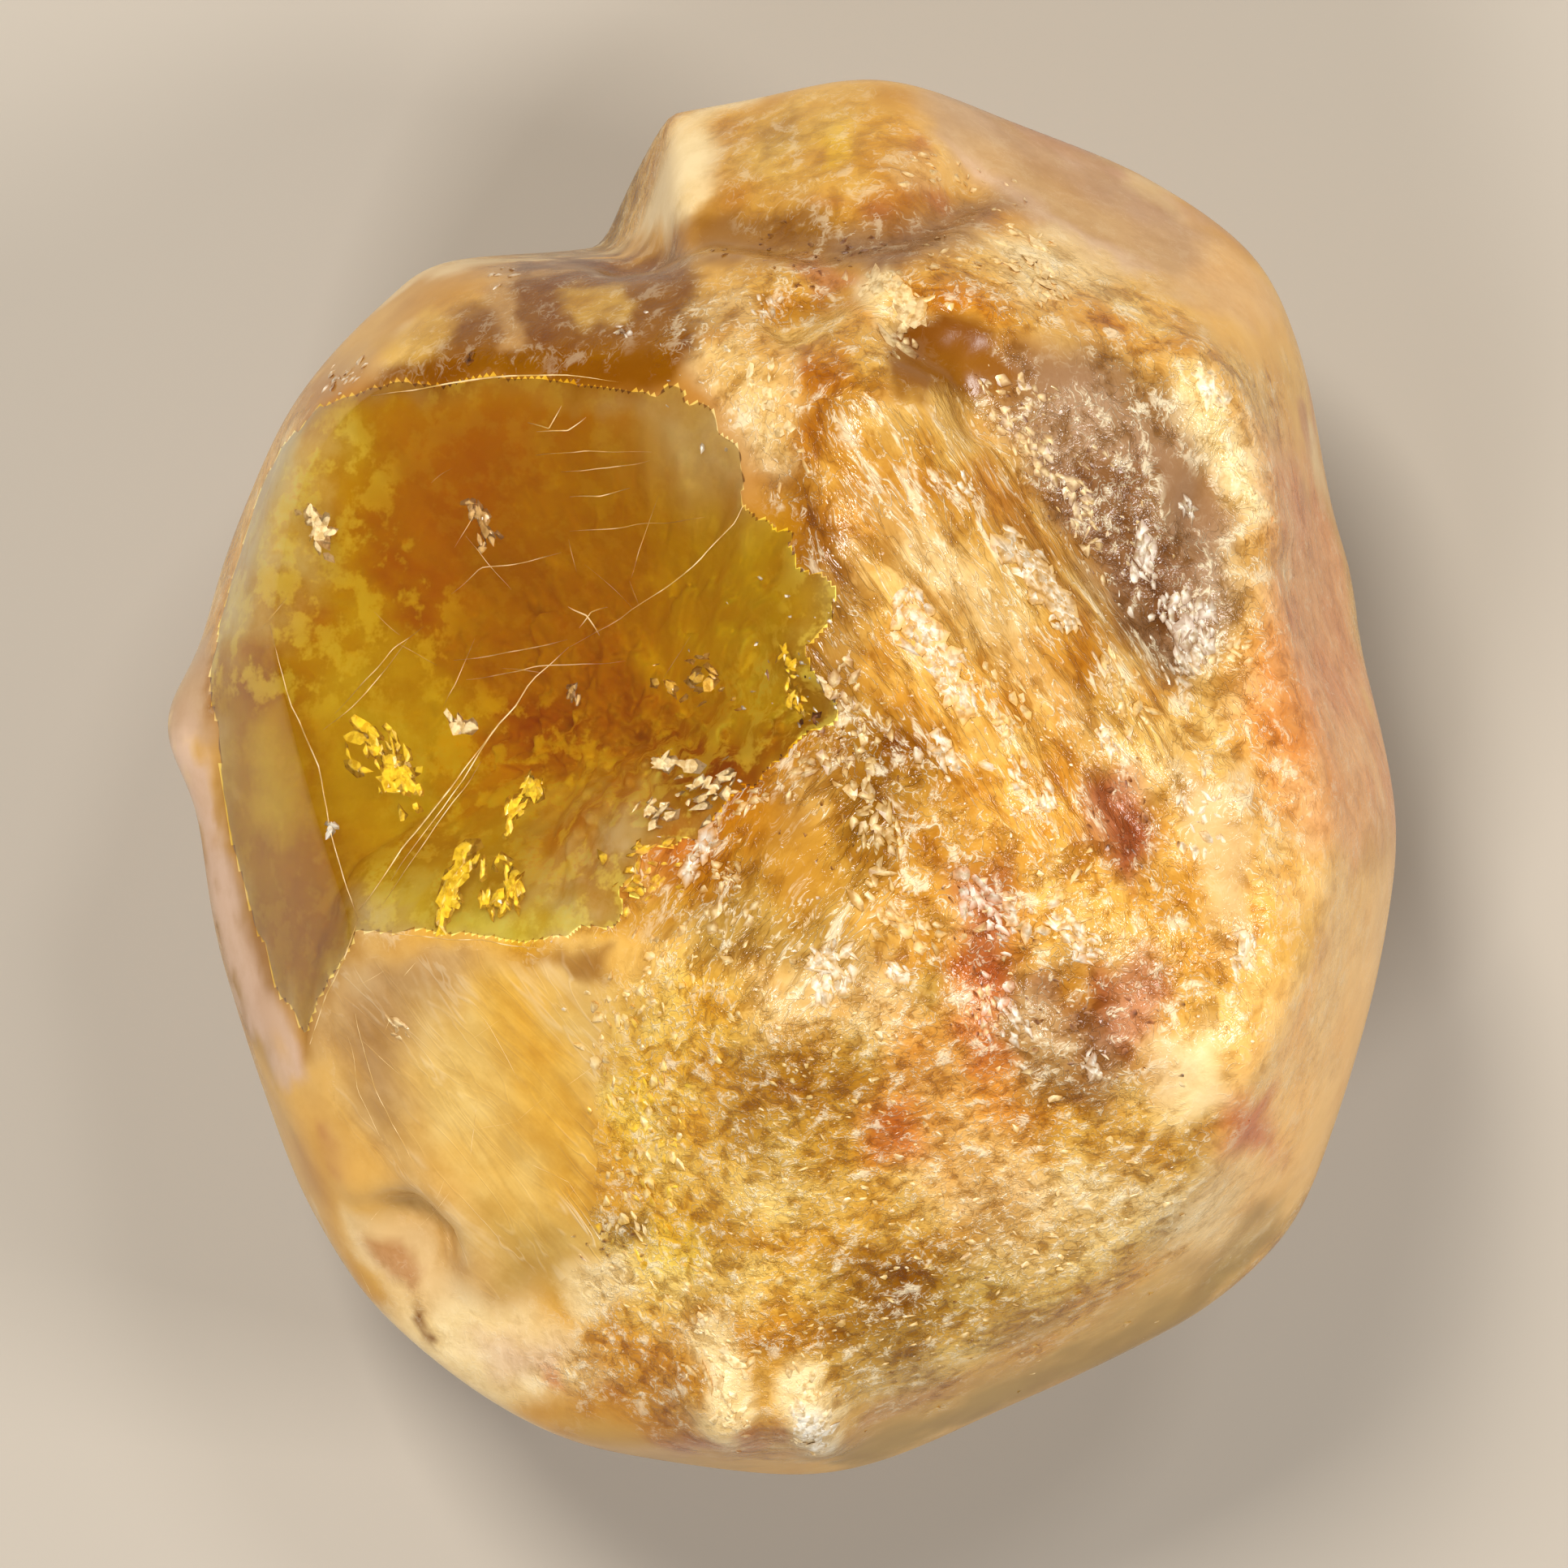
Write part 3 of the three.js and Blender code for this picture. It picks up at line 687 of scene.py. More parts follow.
# Where the cloudy stone is grainy, laid on in this order: strength, softness in mm, outline in pixels
grainZones = [
    (0.4, 0.5, px((1540, 500), (1640, 600), (1720, 1000), (1640, 1300), (1500, 1600), (1460, 1500),
        (1580, 1000))),
    (0.3, 0.4, px((420, 1500), (560, 1600), (720, 1640), (740, 1740), (600, 1720), (450, 1600))),
    (0.3, 0.2, px((400, 1180), (735, 1170), (735, 1560), (600, 1600), (430, 1420))),
    (0.5, 0.4, px((880, 130), (1120, 130), (1180, 200), (1290, 300), (1000, 330), (860, 250))),
    (0.4, 0.4, px((310, 520), (400, 520), (430, 640), (380, 900), (290, 850), (280, 640))),
    (1.0, 0.5, px((900, 440), (1100, 330), (1300, 300), (1560, 450), (1580, 700), (1600, 1000),
        (1540, 1300), (1440, 1560), (1200, 1690), (960, 1780), (820, 1760), (660, 1700), (720, 1580),
        (740, 1300), (800, 1130), (860, 960), (990, 880), (990, 660))),
    (0.9, 0.3, px((840, 330), (1010, 320), (1070, 420), (920, 460), (800, 450))),
    (0.9, 0.2, px((860, 440), (960, 420), (1060, 560), (1050, 680), (1000, 660), (930, 570), (890, 490))),
    (0.7, 0.3, px((250, 700), (330, 520), (420, 500), (420, 760), (330, 860), (255, 860))),
    (0.35, 0.3, px((450, 470), (540, 380), (640, 310), (860, 300), (830, 400), (700, 455))),
    (0.9, 0.5, px((400, 800), (560, 800), (720, 900), (860, 800), (990, 760), (1000, 900), (860, 1060),
        (740, 1150), (440, 1130), (400, 1000))),
    # smoother places in it
    (0.55, 0.2, px((860, 1650), (930, 1660), (1030, 1700), (1040, 1790), (960, 1800), (870, 1780))),
    (0.12, 0.3, px((1140, 100), (1330, 150), (1600, 400), (1420, 350), (1290, 285), (1200, 215))),
    (0.05, 0.2, px((1085, 450), (1105, 395), (1160, 375), (1225, 395), (1245, 475), (1205, 520),
        (1130, 490))),
    (0.15, 0.2, px((1250, 400), (1330, 400), (1340, 480), (1270, 500))),
    (0.1, 0.2, px((1430, 560), (1480, 570), (1480, 640), (1440, 640))),
    (0.2, 0.25, px((1450, 940), (1530, 950), (1540, 1160), (1480, 1130))),
    (0.2, 0.3, px((1440, 1280), (1520, 1270), (1520, 1360), (1440, 1370))),
    (0.3, 0.3, px((900, 1000), (960, 980), (1030, 1010), (1020, 1090), (930, 1100))),
]

# Where its grain takes another shape: direction in degrees, scale along it, across it and inwards
# (more than 1 is finer), outline in pixels
grainShapes = {
    "downRight": (-55, (0.4, 1.4, 1.4), px((990, 500), (1180, 480), (1440, 820), (1440, 1000), (1280, 1060),
        (1000, 820))),
    "upRight": (50, (0.5, 1.4, 1.4), px((760, 1190), (820, 1050), (1000, 900), (1120, 1040), (1060, 1200),
        (900, 1300), (780, 1290))),
    "fine": (20, (1.3, 1.5, 1.5), px((730, 1300), (900, 1290), (1060, 1210), (1200, 1260), (1460, 1370),
        (1440, 1560), (1200, 1690), (960, 1790), (820, 1770), (690, 1720), (640, 1640))),
    "face": (-52, (0.14, 0.5, 0.5), px((400, 1180), (735, 1170), (735, 1560), (600, 1600), (430, 1420))),
}

# Tints that come and go over the honey ground: colour, size in mm, noise where it starts and is full, shift
groundTints = [
    ("amber", 4.0, 0.1, 0.6, 1.1),
    ("cream", 3.0, 0.25, 0.7, 4.7),
    ("redBrown", 2.5, 0.45, 0.8, 7.7),
    ("olive", 3.5, 0.4, 0.8, 9.2),
]


def distanceInside(x, y, outline):
    # distance to the outline in mm, positive inside it
    inside = np.zeros(np.shape(x), bool)
    closed = outline + outline[:1]
    for (ax, ay), (bx, by) in zip(closed[:-1], closed[1:]):
        if ay != by:
            crosses = (ay > y) != (by > y)
            inside ^= crosses & (x < (bx - ax) * (y - ay) / (by - ay) + ax)
    nearest = distanceToPath(x, y, closed)
    return np.where(inside, nearest, -nearest)


def insideOutline(x, y, outline, soft):
    # 1 inside the outline and 0 outside, changing over twice the softness
    return softStep(distanceInside(x, y, outline), -soft, soft)


def wander(points):
    # noise that moves points about, so that drawn edges come out ragged
    return np.stack([cloudNoise(points, 0.7, 3, shift) for shift in (0.7, 3.1, 8.9)], -1)


def frontShare(points):
    # 1 on the side that the photograph shows, going over to 0 along a ragged line below the widest part
    return softStep(points[:, 2] + cloud["raggedFront"] * cloudNoise(points, 2.2, 4, 1.9), -1.6, 0)


def grainShare(points, sway):
    # drawn zones on the front, and grainy and smooth places in turns on the back
    x, y = asSeen(points + cloud["edgeWander"] * 2 * sway)
    front = frontShare(points)
    share = softStep(cloudNoise(points, 4.0, 3, 2.2), -0.4, 0.4) * (1 - front) * cloud["backGrain"]
    for strength, soft, outline in grainZones:
        inside = insideOutline(x, y, outline, soft) * front
        share = share * (1 - inside) + strength * inside
    return share


def grainPlace(tree, place):
    # the coordinates, turned and scaled where the mask of a grain shape says so
    vector = place
    for shape, (direction, scales, _) in grainShapes.items():
        turned = addNode(tree, "ShaderNodeVectorRotate", {"rotation_type": "Z_AXIS"}, Vector=place,
                         Angle=-math.radians(direction))
        drawn = vectorMath(tree, "MULTIPLY", turned.outputs[0], scales)
        chosen = mathNode(tree, "GREATER_THAN", painted(tree, shape), 0.5)
        vector = mixVectors(tree, chosen, vector, drawn)
    return vector


def addGrain(tree, shader, place, grain, colour):
    # polished stone with dark and pale crystals, painted highlights on folds, and relief, as strong as the
    # grain mask says
    crystals = addNode(tree, "ShaderNodeGroup", {"node_tree": crystalGroup}, Vector=grainPlace(tree, place),
                       Size=cloud["grainSize"]).outputs
    darker = mixColours(tree, 1.0, colour, cloud["darkGrain"], "MULTIPLY")
    darkShare = mathNode(tree, "MULTIPLY", crystals["Dark"],
                         mathNode(tree, "MULTIPLY", grain, cloud["darkShare"]))
    colour = mixColours(tree, darkShare, colour, darker)
    # pale crystals, and painted highlights along the folds
    paleShare = mathNode(tree, "MULTIPLY", crystals["Pale"],
                         mathNode(tree, "MULTIPLY", grain, cloud["paleShare"]))
    colour = mixColours(tree, paleShare, colour, cloud["paleGrainAndHighlight"])
    bump = addNode(tree, "ShaderNodeBump", Strength=mathNode(tree, "MULTIPLY", grain, 0.9),
                   Distance=cloud["grainHeight"], Height=crystals["Height"])
    tree.links.new(bump.outputs["Normal"], shader.inputs["Normal"])
    tree.links.new(mathNode(tree, "MULTIPLY_ADD", grain, -0.1, 0.22), shader.inputs["Roughness"])
    shader.inputs["IOR"].default_value = 1.55
    shader.inputs["Specular IOR Level"].default_value = 0.3
    return colour


def addCrumbs(tree, shader, place, grain, colour):
    # dull stone behind glass, with bright crumbs where it is grainy
    crumbs = noise(tree, place, cloud["crumbScale"], 4.0, 0.66)
    lighter = mixColours(tree, 1.0, colour, cloud["crumbColour"], "ADD")
    share = mathNode(tree, "MULTIPLY", ramp(tree, crumbs, 0.48, 0.6),
                     mathNode(tree, "MULTIPLY_ADD", grain, 0.85, 0.08))
    shader.inputs["Specular IOR Level"].default_value = 0.0
    shader.inputs["Roughness"].default_value = 0.9
    return underGlass(tree, mixColours(tree, share, colour, lighter))


def makeCloudMaterial(name, atSurface):
    # at the surface the cloudy stone has its own polish and grain; behind clear stone only its colour shows
    material, tree, place = newMaterial(name)
    tint, grain = painted(tree, "tint", "Color"), painted(tree, "grain")
    # darker veils, stronger where it is grainy and behind clear stone
    veil = ramp(tree, noise(tree, place, cloud["veilScale"], 5.0, 0.66), 0.62, 0.38)
    veiled = mixColours(tree, 1.0, tint, cloud["veilColour"], "MULTIPLY")
    veilShare = mathNode(tree, "MULTIPLY", veil,
                         mathNode(tree, "MULTIPLY_ADD", grain, 0.55, 0.2 if atSurface else 0.4))
    colour = mixColours(tree, veilShare, tint, veiled)
    shader = addNode(tree, "ShaderNodeBsdfPrincipled")
    finish = addGrain if atSurface else addCrumbs
    tree.links.new(finish(tree, shader, place, grain, colour), shader.inputs["Base Color"])
    addNode(tree, "ShaderNodeOutputMaterial", Surface=shader.outputs[0])
    return material


def cloudDepth(skin, sway):
    # depth of the cloudy stone below each skin point: clear places slope down from their ragged outlines
    front = softStep(skin[:, 2], -0.5, 1.0)
    crumble = cloud["crumble"] * cloudNoise(skin, 0.7, 3, 3.3)
    depth = np.zeros(len(skin))
    for _, clearDepth, slope, ragged, outline in clearings:
        outlined = asSeen(skin + ragged * sway)
        share = softStep(distanceInside(*outlined, outline), 0, slope) * front
        depth = depth * (1 - share) + clearDepth * share
        depth = depth + crumble * share ** 2
    return np.maximum(depth, 0)


def clearShare(depth):
    # 0 where the cloudy stone is at the surface, 1 where at least 0.04 mm of clear stone covers it
    return softStep(depth, 0.0, 0.04)


def seenAt(skin, directions, depth):
    # where the cloudy stone below each skin point shows from above, after the sight line bends at the skin
    seen = np.array(skin)
    deep = (depth > 0.2) & (skin[:, 2] > 0.5)
    normal = outwardAt(skin[deep])
    sight = bentSight(normal)
    below = depth[deep] * (directions[deep] * normal).sum(1) / -(sight * normal).sum(1)
    seen[deep] = skin[deep] - directions[deep] * depth[deep][:, None] - sight * below[:, None]
    return seen


def layOver(colours, name, share):
    share = share[:, None]
    return colours * (1 - share) + linear(*palette[name]) * share


def paintCloud(skin, sway):
    # tints over a honey ground all round, and over them the patches on the front
    steep = 1 - softStep(skin[:, 2:], -1.5, 0.8)
    moved = skin + cloud["edgeWander"] * (1 + cloud["rimWander"] * steep) * sway
    front = frontShare(skin)
    colours = np.tile(linear(*palette["honey"]), (len(skin), 1))
    for name, size, low, high, shift in groundTints:
        share = softStep(cloudNoise(skin, size, 4, shift), low, high) * cloud["groundTints"]
        colours = layOver(colours, name, share)
    for name, strength, soft, outline in patches:
        colours = layOver(colours, name, insideOutline(*asSeen(moved), outline, soft) * front * strength)
    return colours


def makeCloud(outer, inner):
    lumps = (cloud["lumps"] * cloudNoise(skinPoints, 1.3, 3, 2.5)
             + cloud["fineLumps"] * cloudNoise(skinPoints, 0.45, 2, 6.1))
    depth = skinDepth + np.where(skinDepth > 0.3, lumps, 0)
    colours = paintCloud(seenAt(skinPoints, gridDirections, depth), skinSway)
    piece = addMesh("cloudy_stone", gridDirections * (gridReach - depth)[:, None], gridQuads, outer)
    piece.data.materials.append(inner)
    behind = depth[gridQuads].mean(1) > cloud["behindClear"]
    piece.data.polygons.foreach_set("material_index", behind.astype(np.int32))
    # a higher power makes a colour darker and deeper, a lower one paler
    grain = grainShare(skinPoints, skinSway)
    blotches = cloud["blotches"] * np.minimum(cloudNoise(skinPoints, 1.3, 5, 5.2), 0.35)
    colours = colours ** (1 - blotches * (0.2 + 0.8 * grain))[:, None]
    addTint(piece, "tint", colours)
    addMask(piece, "grain", grain)
    moved = skinPoints + cloud["edgeWander"] * skinSway
    for name, (_, _, outline) in grainShapes.items():
        addMask(piece, name, insideOutline(*asSeen(moved), outline, 0.6) * frontShare(skinPoints))
    stage("cloudy stone, %d faces" % len(gridQuads))


def makeSkin(material):
    # just below the cloudy stone where that is at the surface, and in its own place over the clear stone
    reach = gridReach - glass["sunk"] * (1 - clearShare(skinDepth))
    addMesh("garnet_skin", gridDirections * reach[:, None], gridQuads, material)
    stage("skin, %d faces" % len(gridQuads))


# Things set in the clear stone: each place is found from the pixel where it shows
def frontPoint(x, y):
    # the skin where the camera sees x, y, found by halving the height between inside and outside
    low, high = np.full(np.shape(x), -2.0), np.full(np.shape(x), 9.0)
    for _ in range(20):
        height = (low + high) / 2
        closer = 1 - height / photo["cameraDistance"]
        points = np.stack([x * closer, y * closer, height], -1)
        length = np.linalg.norm(points, axis=-1)
        outside = length > skinReach(points / length[..., None])
        high, low = np.where(outside, height, high), np.where(outside, low, height)
    return points


def outwardAt(points):
    # the skin's normal, from small steps across it
    step = 0.03
    slopes = []
    for axis in np.eye(3):
        gaps = []
        for side in (step, -step):
            moved = points + side * axis
            length = np.linalg.norm(moved, axis=-1)
            gaps.append(length - skinReach(moved / length[..., None]))
        slopes.append(gaps[0] - gaps[1])
    return unit(np.stack(slopes, -1))


def bentSight(normal):
    # the sight line straight down, bent by Snell's law where it enters the skin
    ratio = 1 / glass["refraction"]
    facingUs = normal[..., 2]
    bent = np.sqrt(1 - ratio ** 2 * (1 - facingUs ** 2))
    return np.array([0, 0, -ratio]) + (ratio * facingUs - bent)[..., None] * normal


def sink(x, y, depth):
    # a place that shows at x, y, the given depth along the bent sight line
    surface = frontPoint(x, y)
    normal = outwardAt(surface)
    return surface + np.asarray(depth)[..., None] * bentSight(normal), normal


def alongPath(path, share):
    # x and y at each share of the way through the path's points
    knots = np.linspace(0, 1, len(path))
    return [np.interp(share, knots, values) for values in zip(*path)]


# Gold flakes, cream flecks, white flakes as painted glints and dark flakes as painted shade, each swarm along
# a path.
# Path and spread in pixels, count, smallest and largest in mm, deepest in mm, colour
flakeSwarms = [
    # in the window and the corners around it
    ([(455, 915), (485, 940), (500, 985)], 15, 60, (0.04, 0.2), 0.03, "yellow"),
    ([(542, 1135), (560, 1085), (582, 1045)], 5, 44, (0.08, 0.24), 0.03, "yellow"),
    ([(590, 1065), (625, 1070), (635, 1100), (610, 1118), (590, 1100)], 5, 40, (0.05, 0.17), 0.03, "yellow"),
    ([(625, 1010), (645, 985), (655, 965)], 8, 26, (0.05, 0.18), 0.03, "yellow"),
    ([(562, 886), (576, 900)], 4, 8, (0.12, 0.2), 0.02, "cream"),
    ([(820, 850), (860, 830), (900, 860)], 16, 22, (0.05, 0.14), 0.05, "gold"),
    ([(965, 800), (975, 840), (985, 880)], 5, 26, (0.05, 0.14), 0.03, "yellow"),
    ([(815, 938), (832, 940)], 4, 10, (0.08, 0.16), 0.03, "cream"),
    ([(700, 840), (706, 865)], 4, 8, (0.05, 0.1), 0.03, "beige"),
    ([(380, 640), (398, 668)], 8, 20, (0.08, 0.2), 0.06, "cream"),
    ([(575, 620), (600, 640), (596, 680)], 6, 20, (0.06, 0.16), 0.03, "beige"),
    ([(483, 1255), (497, 1270)], 6, 10, (0.08, 0.16), 0.03, "cream"),
    # painted shade: one dark flake for the shade in a small hole
    ([(576, 432), (580, 448)], 1, 5, (0.08, 0.13), 0.01, "holeShade"),
    # the white flakes here and below are painted glints
    ([(600, 345), (630, 330)], 6, 10, (0.06, 0.14), 0.03, "glintWhite"),
    ([(755, 402), (772, 410)], 4, 8, (0.06, 0.14), 0.03, "glintWhite"),
    ([(405, 470), (440, 455)], 9, 24, (0.06, 0.14), 0.03, "glintWhite"),
    ([(407, 1016), (412, 1024)], 3, 6, (0.06, 0.12), 0.02, "glintWhite"),
    # painted highlights: white glints on the ridges
    ([(1110, 740), (1150, 800), (1200, 872)], 9, 90, (0.09, 0.28), 0.03, "glintWhite"),
    ([(1235, 665), (1275, 705), (1312, 768)], 8, 70, (0.09, 0.28), 0.03, "glintWhite"),
    ([(1215, 820), (1240, 880), (1250, 900)], 12, 24, (0.06, 0.16), 0.03, "cream"),
    ([(1150, 900), (1172, 948)], 9, 26, (0.06, 0.18), 0.03, "glintWhite"),
    ([(1235, 930), (1290, 1000)], 10, 34, (0.05, 0.16), 0.03, "glintWhite"),
    ([(1350, 780), (1405, 895)], 9, 34, (0.06, 0.18), 0.03, "cream"),
    ([(1355, 890), (1368, 922)], 6, 18, (0.07, 0.16), 0.03, "glintWhite"),
    ([(1180, 590), (1195, 610)], 7, 12, (0.05, 0.12), 0.03, "glintWhite"),
    ([(1030, 830), (1060, 900), (1040, 960)], 16, 40, (0.05, 0.14), 0.03, "cream"),
    # squiggles in the trough
    ([(1222, 450), (1215, 490), (1250, 540), (1290, 560)], 9, 60, (0.05, 0.15), 0.03, "cream"),
    ([(1245, 460), (1290, 500)], 12, 22, (0.04, 0.12), 0.03, "cream"),
    ([(1300, 570), (1330, 620), (1350, 680)], 12, 50, (0.05, 0.16), 0.03, "cream"),
    ([(1330, 540), (1370, 620), (1390, 700)], 22, 44, (0.03, 0.1), 0.03, "cream"),
    ([(1400, 650), (1410, 700), (1402, 735)], 9, 44, (0.05, 0.16), 0.03, "glintWhite"),
    ([(1420, 745), (1465, 740), (1490, 770), (1470, 810), (1440, 842)], 9, 80, (0.06, 0.18), 0.03, "glintWhite"),
    ([(1500, 800), (1530, 790)], 10, 20, (0.05, 0.14), 0.03, "cream"),
    ([(1460, 618), (1470, 632)], 4, 16, (0.08, 0.18), 0.02, "glintWhite"),
    ([(1478, 466), (1500, 486)], 7, 24, (0.08, 0.2), 0.02, "glintWhite"),
    ([(1520, 560), (1562, 640)], 6, 20, (0.05, 0.12), 0.02, "cream"),
    # the middle and the foot
    ([(848, 1082), (860, 1048), (888, 1024)], 4, 34, (0.08, 0.2), 0.02, "glintWhite"),
    ([(872, 1060), (890, 1085), (905, 1075)], 6, 24, (0.06, 0.14), 0.03, "cream"),
    ([(910, 1000), (960, 965), (1000, 930)], 7, 36, (0.05, 0.14), 0.03, "cream"),
    ([(1000, 1180), (1030, 1170), (1040, 1205), (1010, 1215)], 7, 46, (0.07, 0.18), 0.02, "glintWhite"),
    ([(1098, 1190), (1110, 1205)], 5, 14, (0.07, 0.16), 0.02, "glintWhite"),
    ([(1200, 1150), (1290, 1120), (1340, 1100)], 26, 60, (0.04, 0.14), 0.03, "cream"),
    ([(1340, 1295), (1348, 1325)], 4, 14, (0.06, 0.14), 0.02, "glintWhite"),
    ([(1210, 1180), (1220, 1300)], 14, 30, (0.05, 0.14), 0.03, "cream"),
    ([(1537, 1150), (1530, 1200)], 5, 22, (0.08, 0.18), 0.02, "glintWhite"),
    ([(1470, 970), (1500, 1080)], 14, 22, (0.06, 0.16), 0.02, "glintWhite"),
    ([(760, 1250), (850, 1160), (900, 1120)], 26, 90, (0.04, 0.13), 0.03, "cream"),
    ([(900, 1300), (1100, 1420), (1300, 1500)], 110, 330, (0.03, 0.11), 0.03, "cream"),
    ([(1000, 1600), (1200, 1600), (1400, 1480)], 60, 170, (0.03, 0.1), 0.03, "cream"),
    ([(780, 1580), (900, 1640)], 40, 80, (0.04, 0.12), 0.03, "cream"),
    ([(870, 1640), (890, 1700), (905, 1760)], 14, 44, (0.05, 0.16), 0.02, "cream"),
    ([(975, 1690), (1010, 1730), (1000, 1780)], 14, 44, (0.05, 0.16), 0.02, "cream"),
    ([(985, 1750), (1010, 1775)], 8, 26, (0.08, 0.2), 0.02, "glintWhite"),
    ([(900, 1745), (912, 1765)], 6, 14, (0.06, 0.14), 0.02, "cream"),
    ([(760, 1250), (800, 1400), (760, 1550)], 26, 90, (0.05, 0.17), 0.03, "cream"),
    ([(770, 1280), (800, 1400), (800, 1540)], 30, 50, (0.05, 0.15), 0.03, "yellow"),
    ([(1000, 780), (1200, 900), (1330, 960)], 90, 260, (0.015, 0.05), 0.02, "glintWhite"),
    ([(860, 1200), (1100, 1150), (1400, 1250)], 100, 260, (0.015, 0.05), 0.02, "glintWhite"),
    ([(1200, 560), (1350, 700), (1430, 820)], 60, 160, (0.015, 0.05), 0.02, "glintWhite"),
    ([(900, 1500), (1200, 1500), (1420, 1420)], 90, 240, (0.015, 0.045), 0.02, "glintWhite"),
    ([(1125, 760), (1165, 830), (1185, 862)], 4, 44, (0.12, 0.32), 0.02, "glintWhite"),
    ([(1262, 690), (1290, 720), (1318, 762)], 4, 40, (0.12, 0.32), 0.02, "glintWhite"),
    ([(1190, 1090), (1230, 1120), (1245, 1160)], 12, 44, (0.06, 0.2), 0.02, "glintWhite"),
    ([(1295, 1130), (1345, 1170)], 12, 34, (0.06, 0.2), 0.02, "glintWhite"),
    ([(1215, 1225), (1265, 1280)], 14, 40, (0.05, 0.16), 0.02, "glintWhite"),
    ([(1100, 1125), (1160, 1175)], 14, 34, (0.05, 0.18), 0.02, "cream"),
    ([(1030, 920), (1090, 1020), (1100, 1130)], 16, 70, (0.05, 0.18), 0.02, "cream"),
    ([(1440, 760), (1480, 790), (1462, 825)], 6, 34, (0.1, 0.26), 0.02, "glintWhite"),
    ([(790, 1010), (850, 990), (900, 960)], 20, 46, (0.05, 0.16), 0.03, "cream"),
    ([(770, 1080), (820, 1060)], 20, 34, (0.05, 0.16), 0.03, "yellow"),
    # the largest painted glints
    ([(1130, 775), (1150, 810), (1172, 850)], 5, 9, (0.15, 0.27), 0.02, "glintWhite"),
    ([(1270, 700), (1305, 750)], 5, 8, (0.15, 0.27), 0.02, "glintWhite"),
    ([(1010, 1185), (1030, 1198)], 6, 7, (0.14, 0.24), 0.02, "glintWhite"),
    ([(1486, 472), (1494, 484)], 4, 5, (0.15, 0.26), 0.01, "glintWhite"),
    ([(1462, 620), (1468, 630)], 3, 4, (0.14, 0.22), 0.01, "glintWhite"),
    ([(1536, 1145), (1533, 1185)], 3, 5, (0.16, 0.28), 0.01, "glintWhite"),
    ([(1002, 1764), (1014, 1772)], 3, 5, (0.16, 0.26), 0.01, "glintWhite"),
    ([(1345, 1300), (1347, 1320)], 3, 4, (0.12, 0.2), 0.01, "glintWhite"),
    ([(1150, 910), (1166, 940)], 4, 5, (0.12, 0.22), 0.01, "glintWhite"),
    # painted shade: dark flakes for the shade in crevices and pores
    ([(1355, 940), (1380, 1000), (1400, 1060)], 22, 46, (0.03, 0.11), 0.02, "creviceShade"),
    ([(1190, 1080), (1200, 1180), (1210, 1290)], 16, 46, (0.02, 0.08), 0.02, "creviceShade"),
    ([(1250, 1200), (1330, 1290), (1420, 1230)], 34, 70, (0.02, 0.09), 0.02, "creviceShade"),
    ([(1230, 440), (1300, 560), (1420, 760)], 34, 80, (0.02, 0.08), 0.02, "creviceShade"),
    ([(860, 300), (1000, 330), (1080, 300)], 14, 50, (0.03, 0.1), 0.02, "creviceShade"),
    ([(1020, 860), (1060, 960), (1000, 1040)], 34, 50, (0.02, 0.08), 0.02, "creviceShade"),
    ([(720, 1530), (760, 1510), (790, 1530)], 12, 26, (0.03, 0.09), 0.02, "creviceShade"),
    ([(1040, 1600), (1150, 1640), (1260, 1580)], 34, 70, (0.02, 0.07), 0.02, "creviceShade"),
    # below the top lobe
    ([(925, 365), (955, 368), (950, 390), (930, 388)], 4, 24, (0.05, 0.12), 0.02, "glintWhite"),
    ([(1065, 352), (1105, 348), (1120, 380), (1100, 432)], 9, 60, (0.1, 0.28), 0.03, "cream"),
    ([(1280, 300), (1285, 350), (1300, 375)], 9, 24, (0.08, 0.24), 0.03, "cream"),
    ([(905, 470), (960, 500), (965, 560)], 24, 22, (0.06, 0.16), 0.02, "cream"),
    ([(1120, 200), (1180, 210), (1250, 250)], 14, 30, (0.04, 0.12), 0.02, "cream"),
    ([(840, 420), (900, 450), (960, 540)], 30, 40, (0.02, 0.07), 0.02, "glintWhite"),
    ([(1150, 320), (1280, 310)], 20, 40, (0.05, 0.14), 0.03, "cream"),
]

flake = {
    "corners": 6,
    "growth": 1.7,                  # all sizes are multiplied by this
    "thickness": 0.2,               # of the flake's size
    "widths": (0.22, 0.7),          # against the length
    "lean": 0.25,                   # how far it tips out of the skin
    "turn": 0.45,                   # radians that it turns away from its path
    "skew": 0.35,                   # radians that its corners are off their places
    "ragged": (0.4, 1.0),           # how far its corners reach out
    "brightness": (0.65, 1.05),
    "proud": 0.03,                  # mm above the skin at most
    "rimBlend": 0.95,               # how far the rim takes the colour of the stone around it
    "mottleScale": 9000.0,          # spots to a metre
    "dullColour": (0.7, 0.6, 0.45, 1),
    "seed": 21,
}


def makeFlakeMaterial():
    material, tree, place = newMaterial("crystal_flakes")
    tint = painted(tree, "tint", "Color")
    mottle = noise(tree, place, flake["mottleScale"], 2.0)
    dull = mixColours(tree, 1.0, tint, flake["dullColour"], "MULTIPLY")
    colour = mixColours(tree, ramp(tree, mottle, 0.35, 0.6), dull, tint)
    shader = addNode(tree, "ShaderNodeBsdfPrincipled", **{"Base Color": colour})
    tree.links.new(mathNode(tree, "MULTIPLY_ADD", mottle, 0.3, 0.15), shader.inputs["Roughness"])
    addNode(tree, "ShaderNodeOutputMaterial", Surface=shader.outputs[0])
    return material


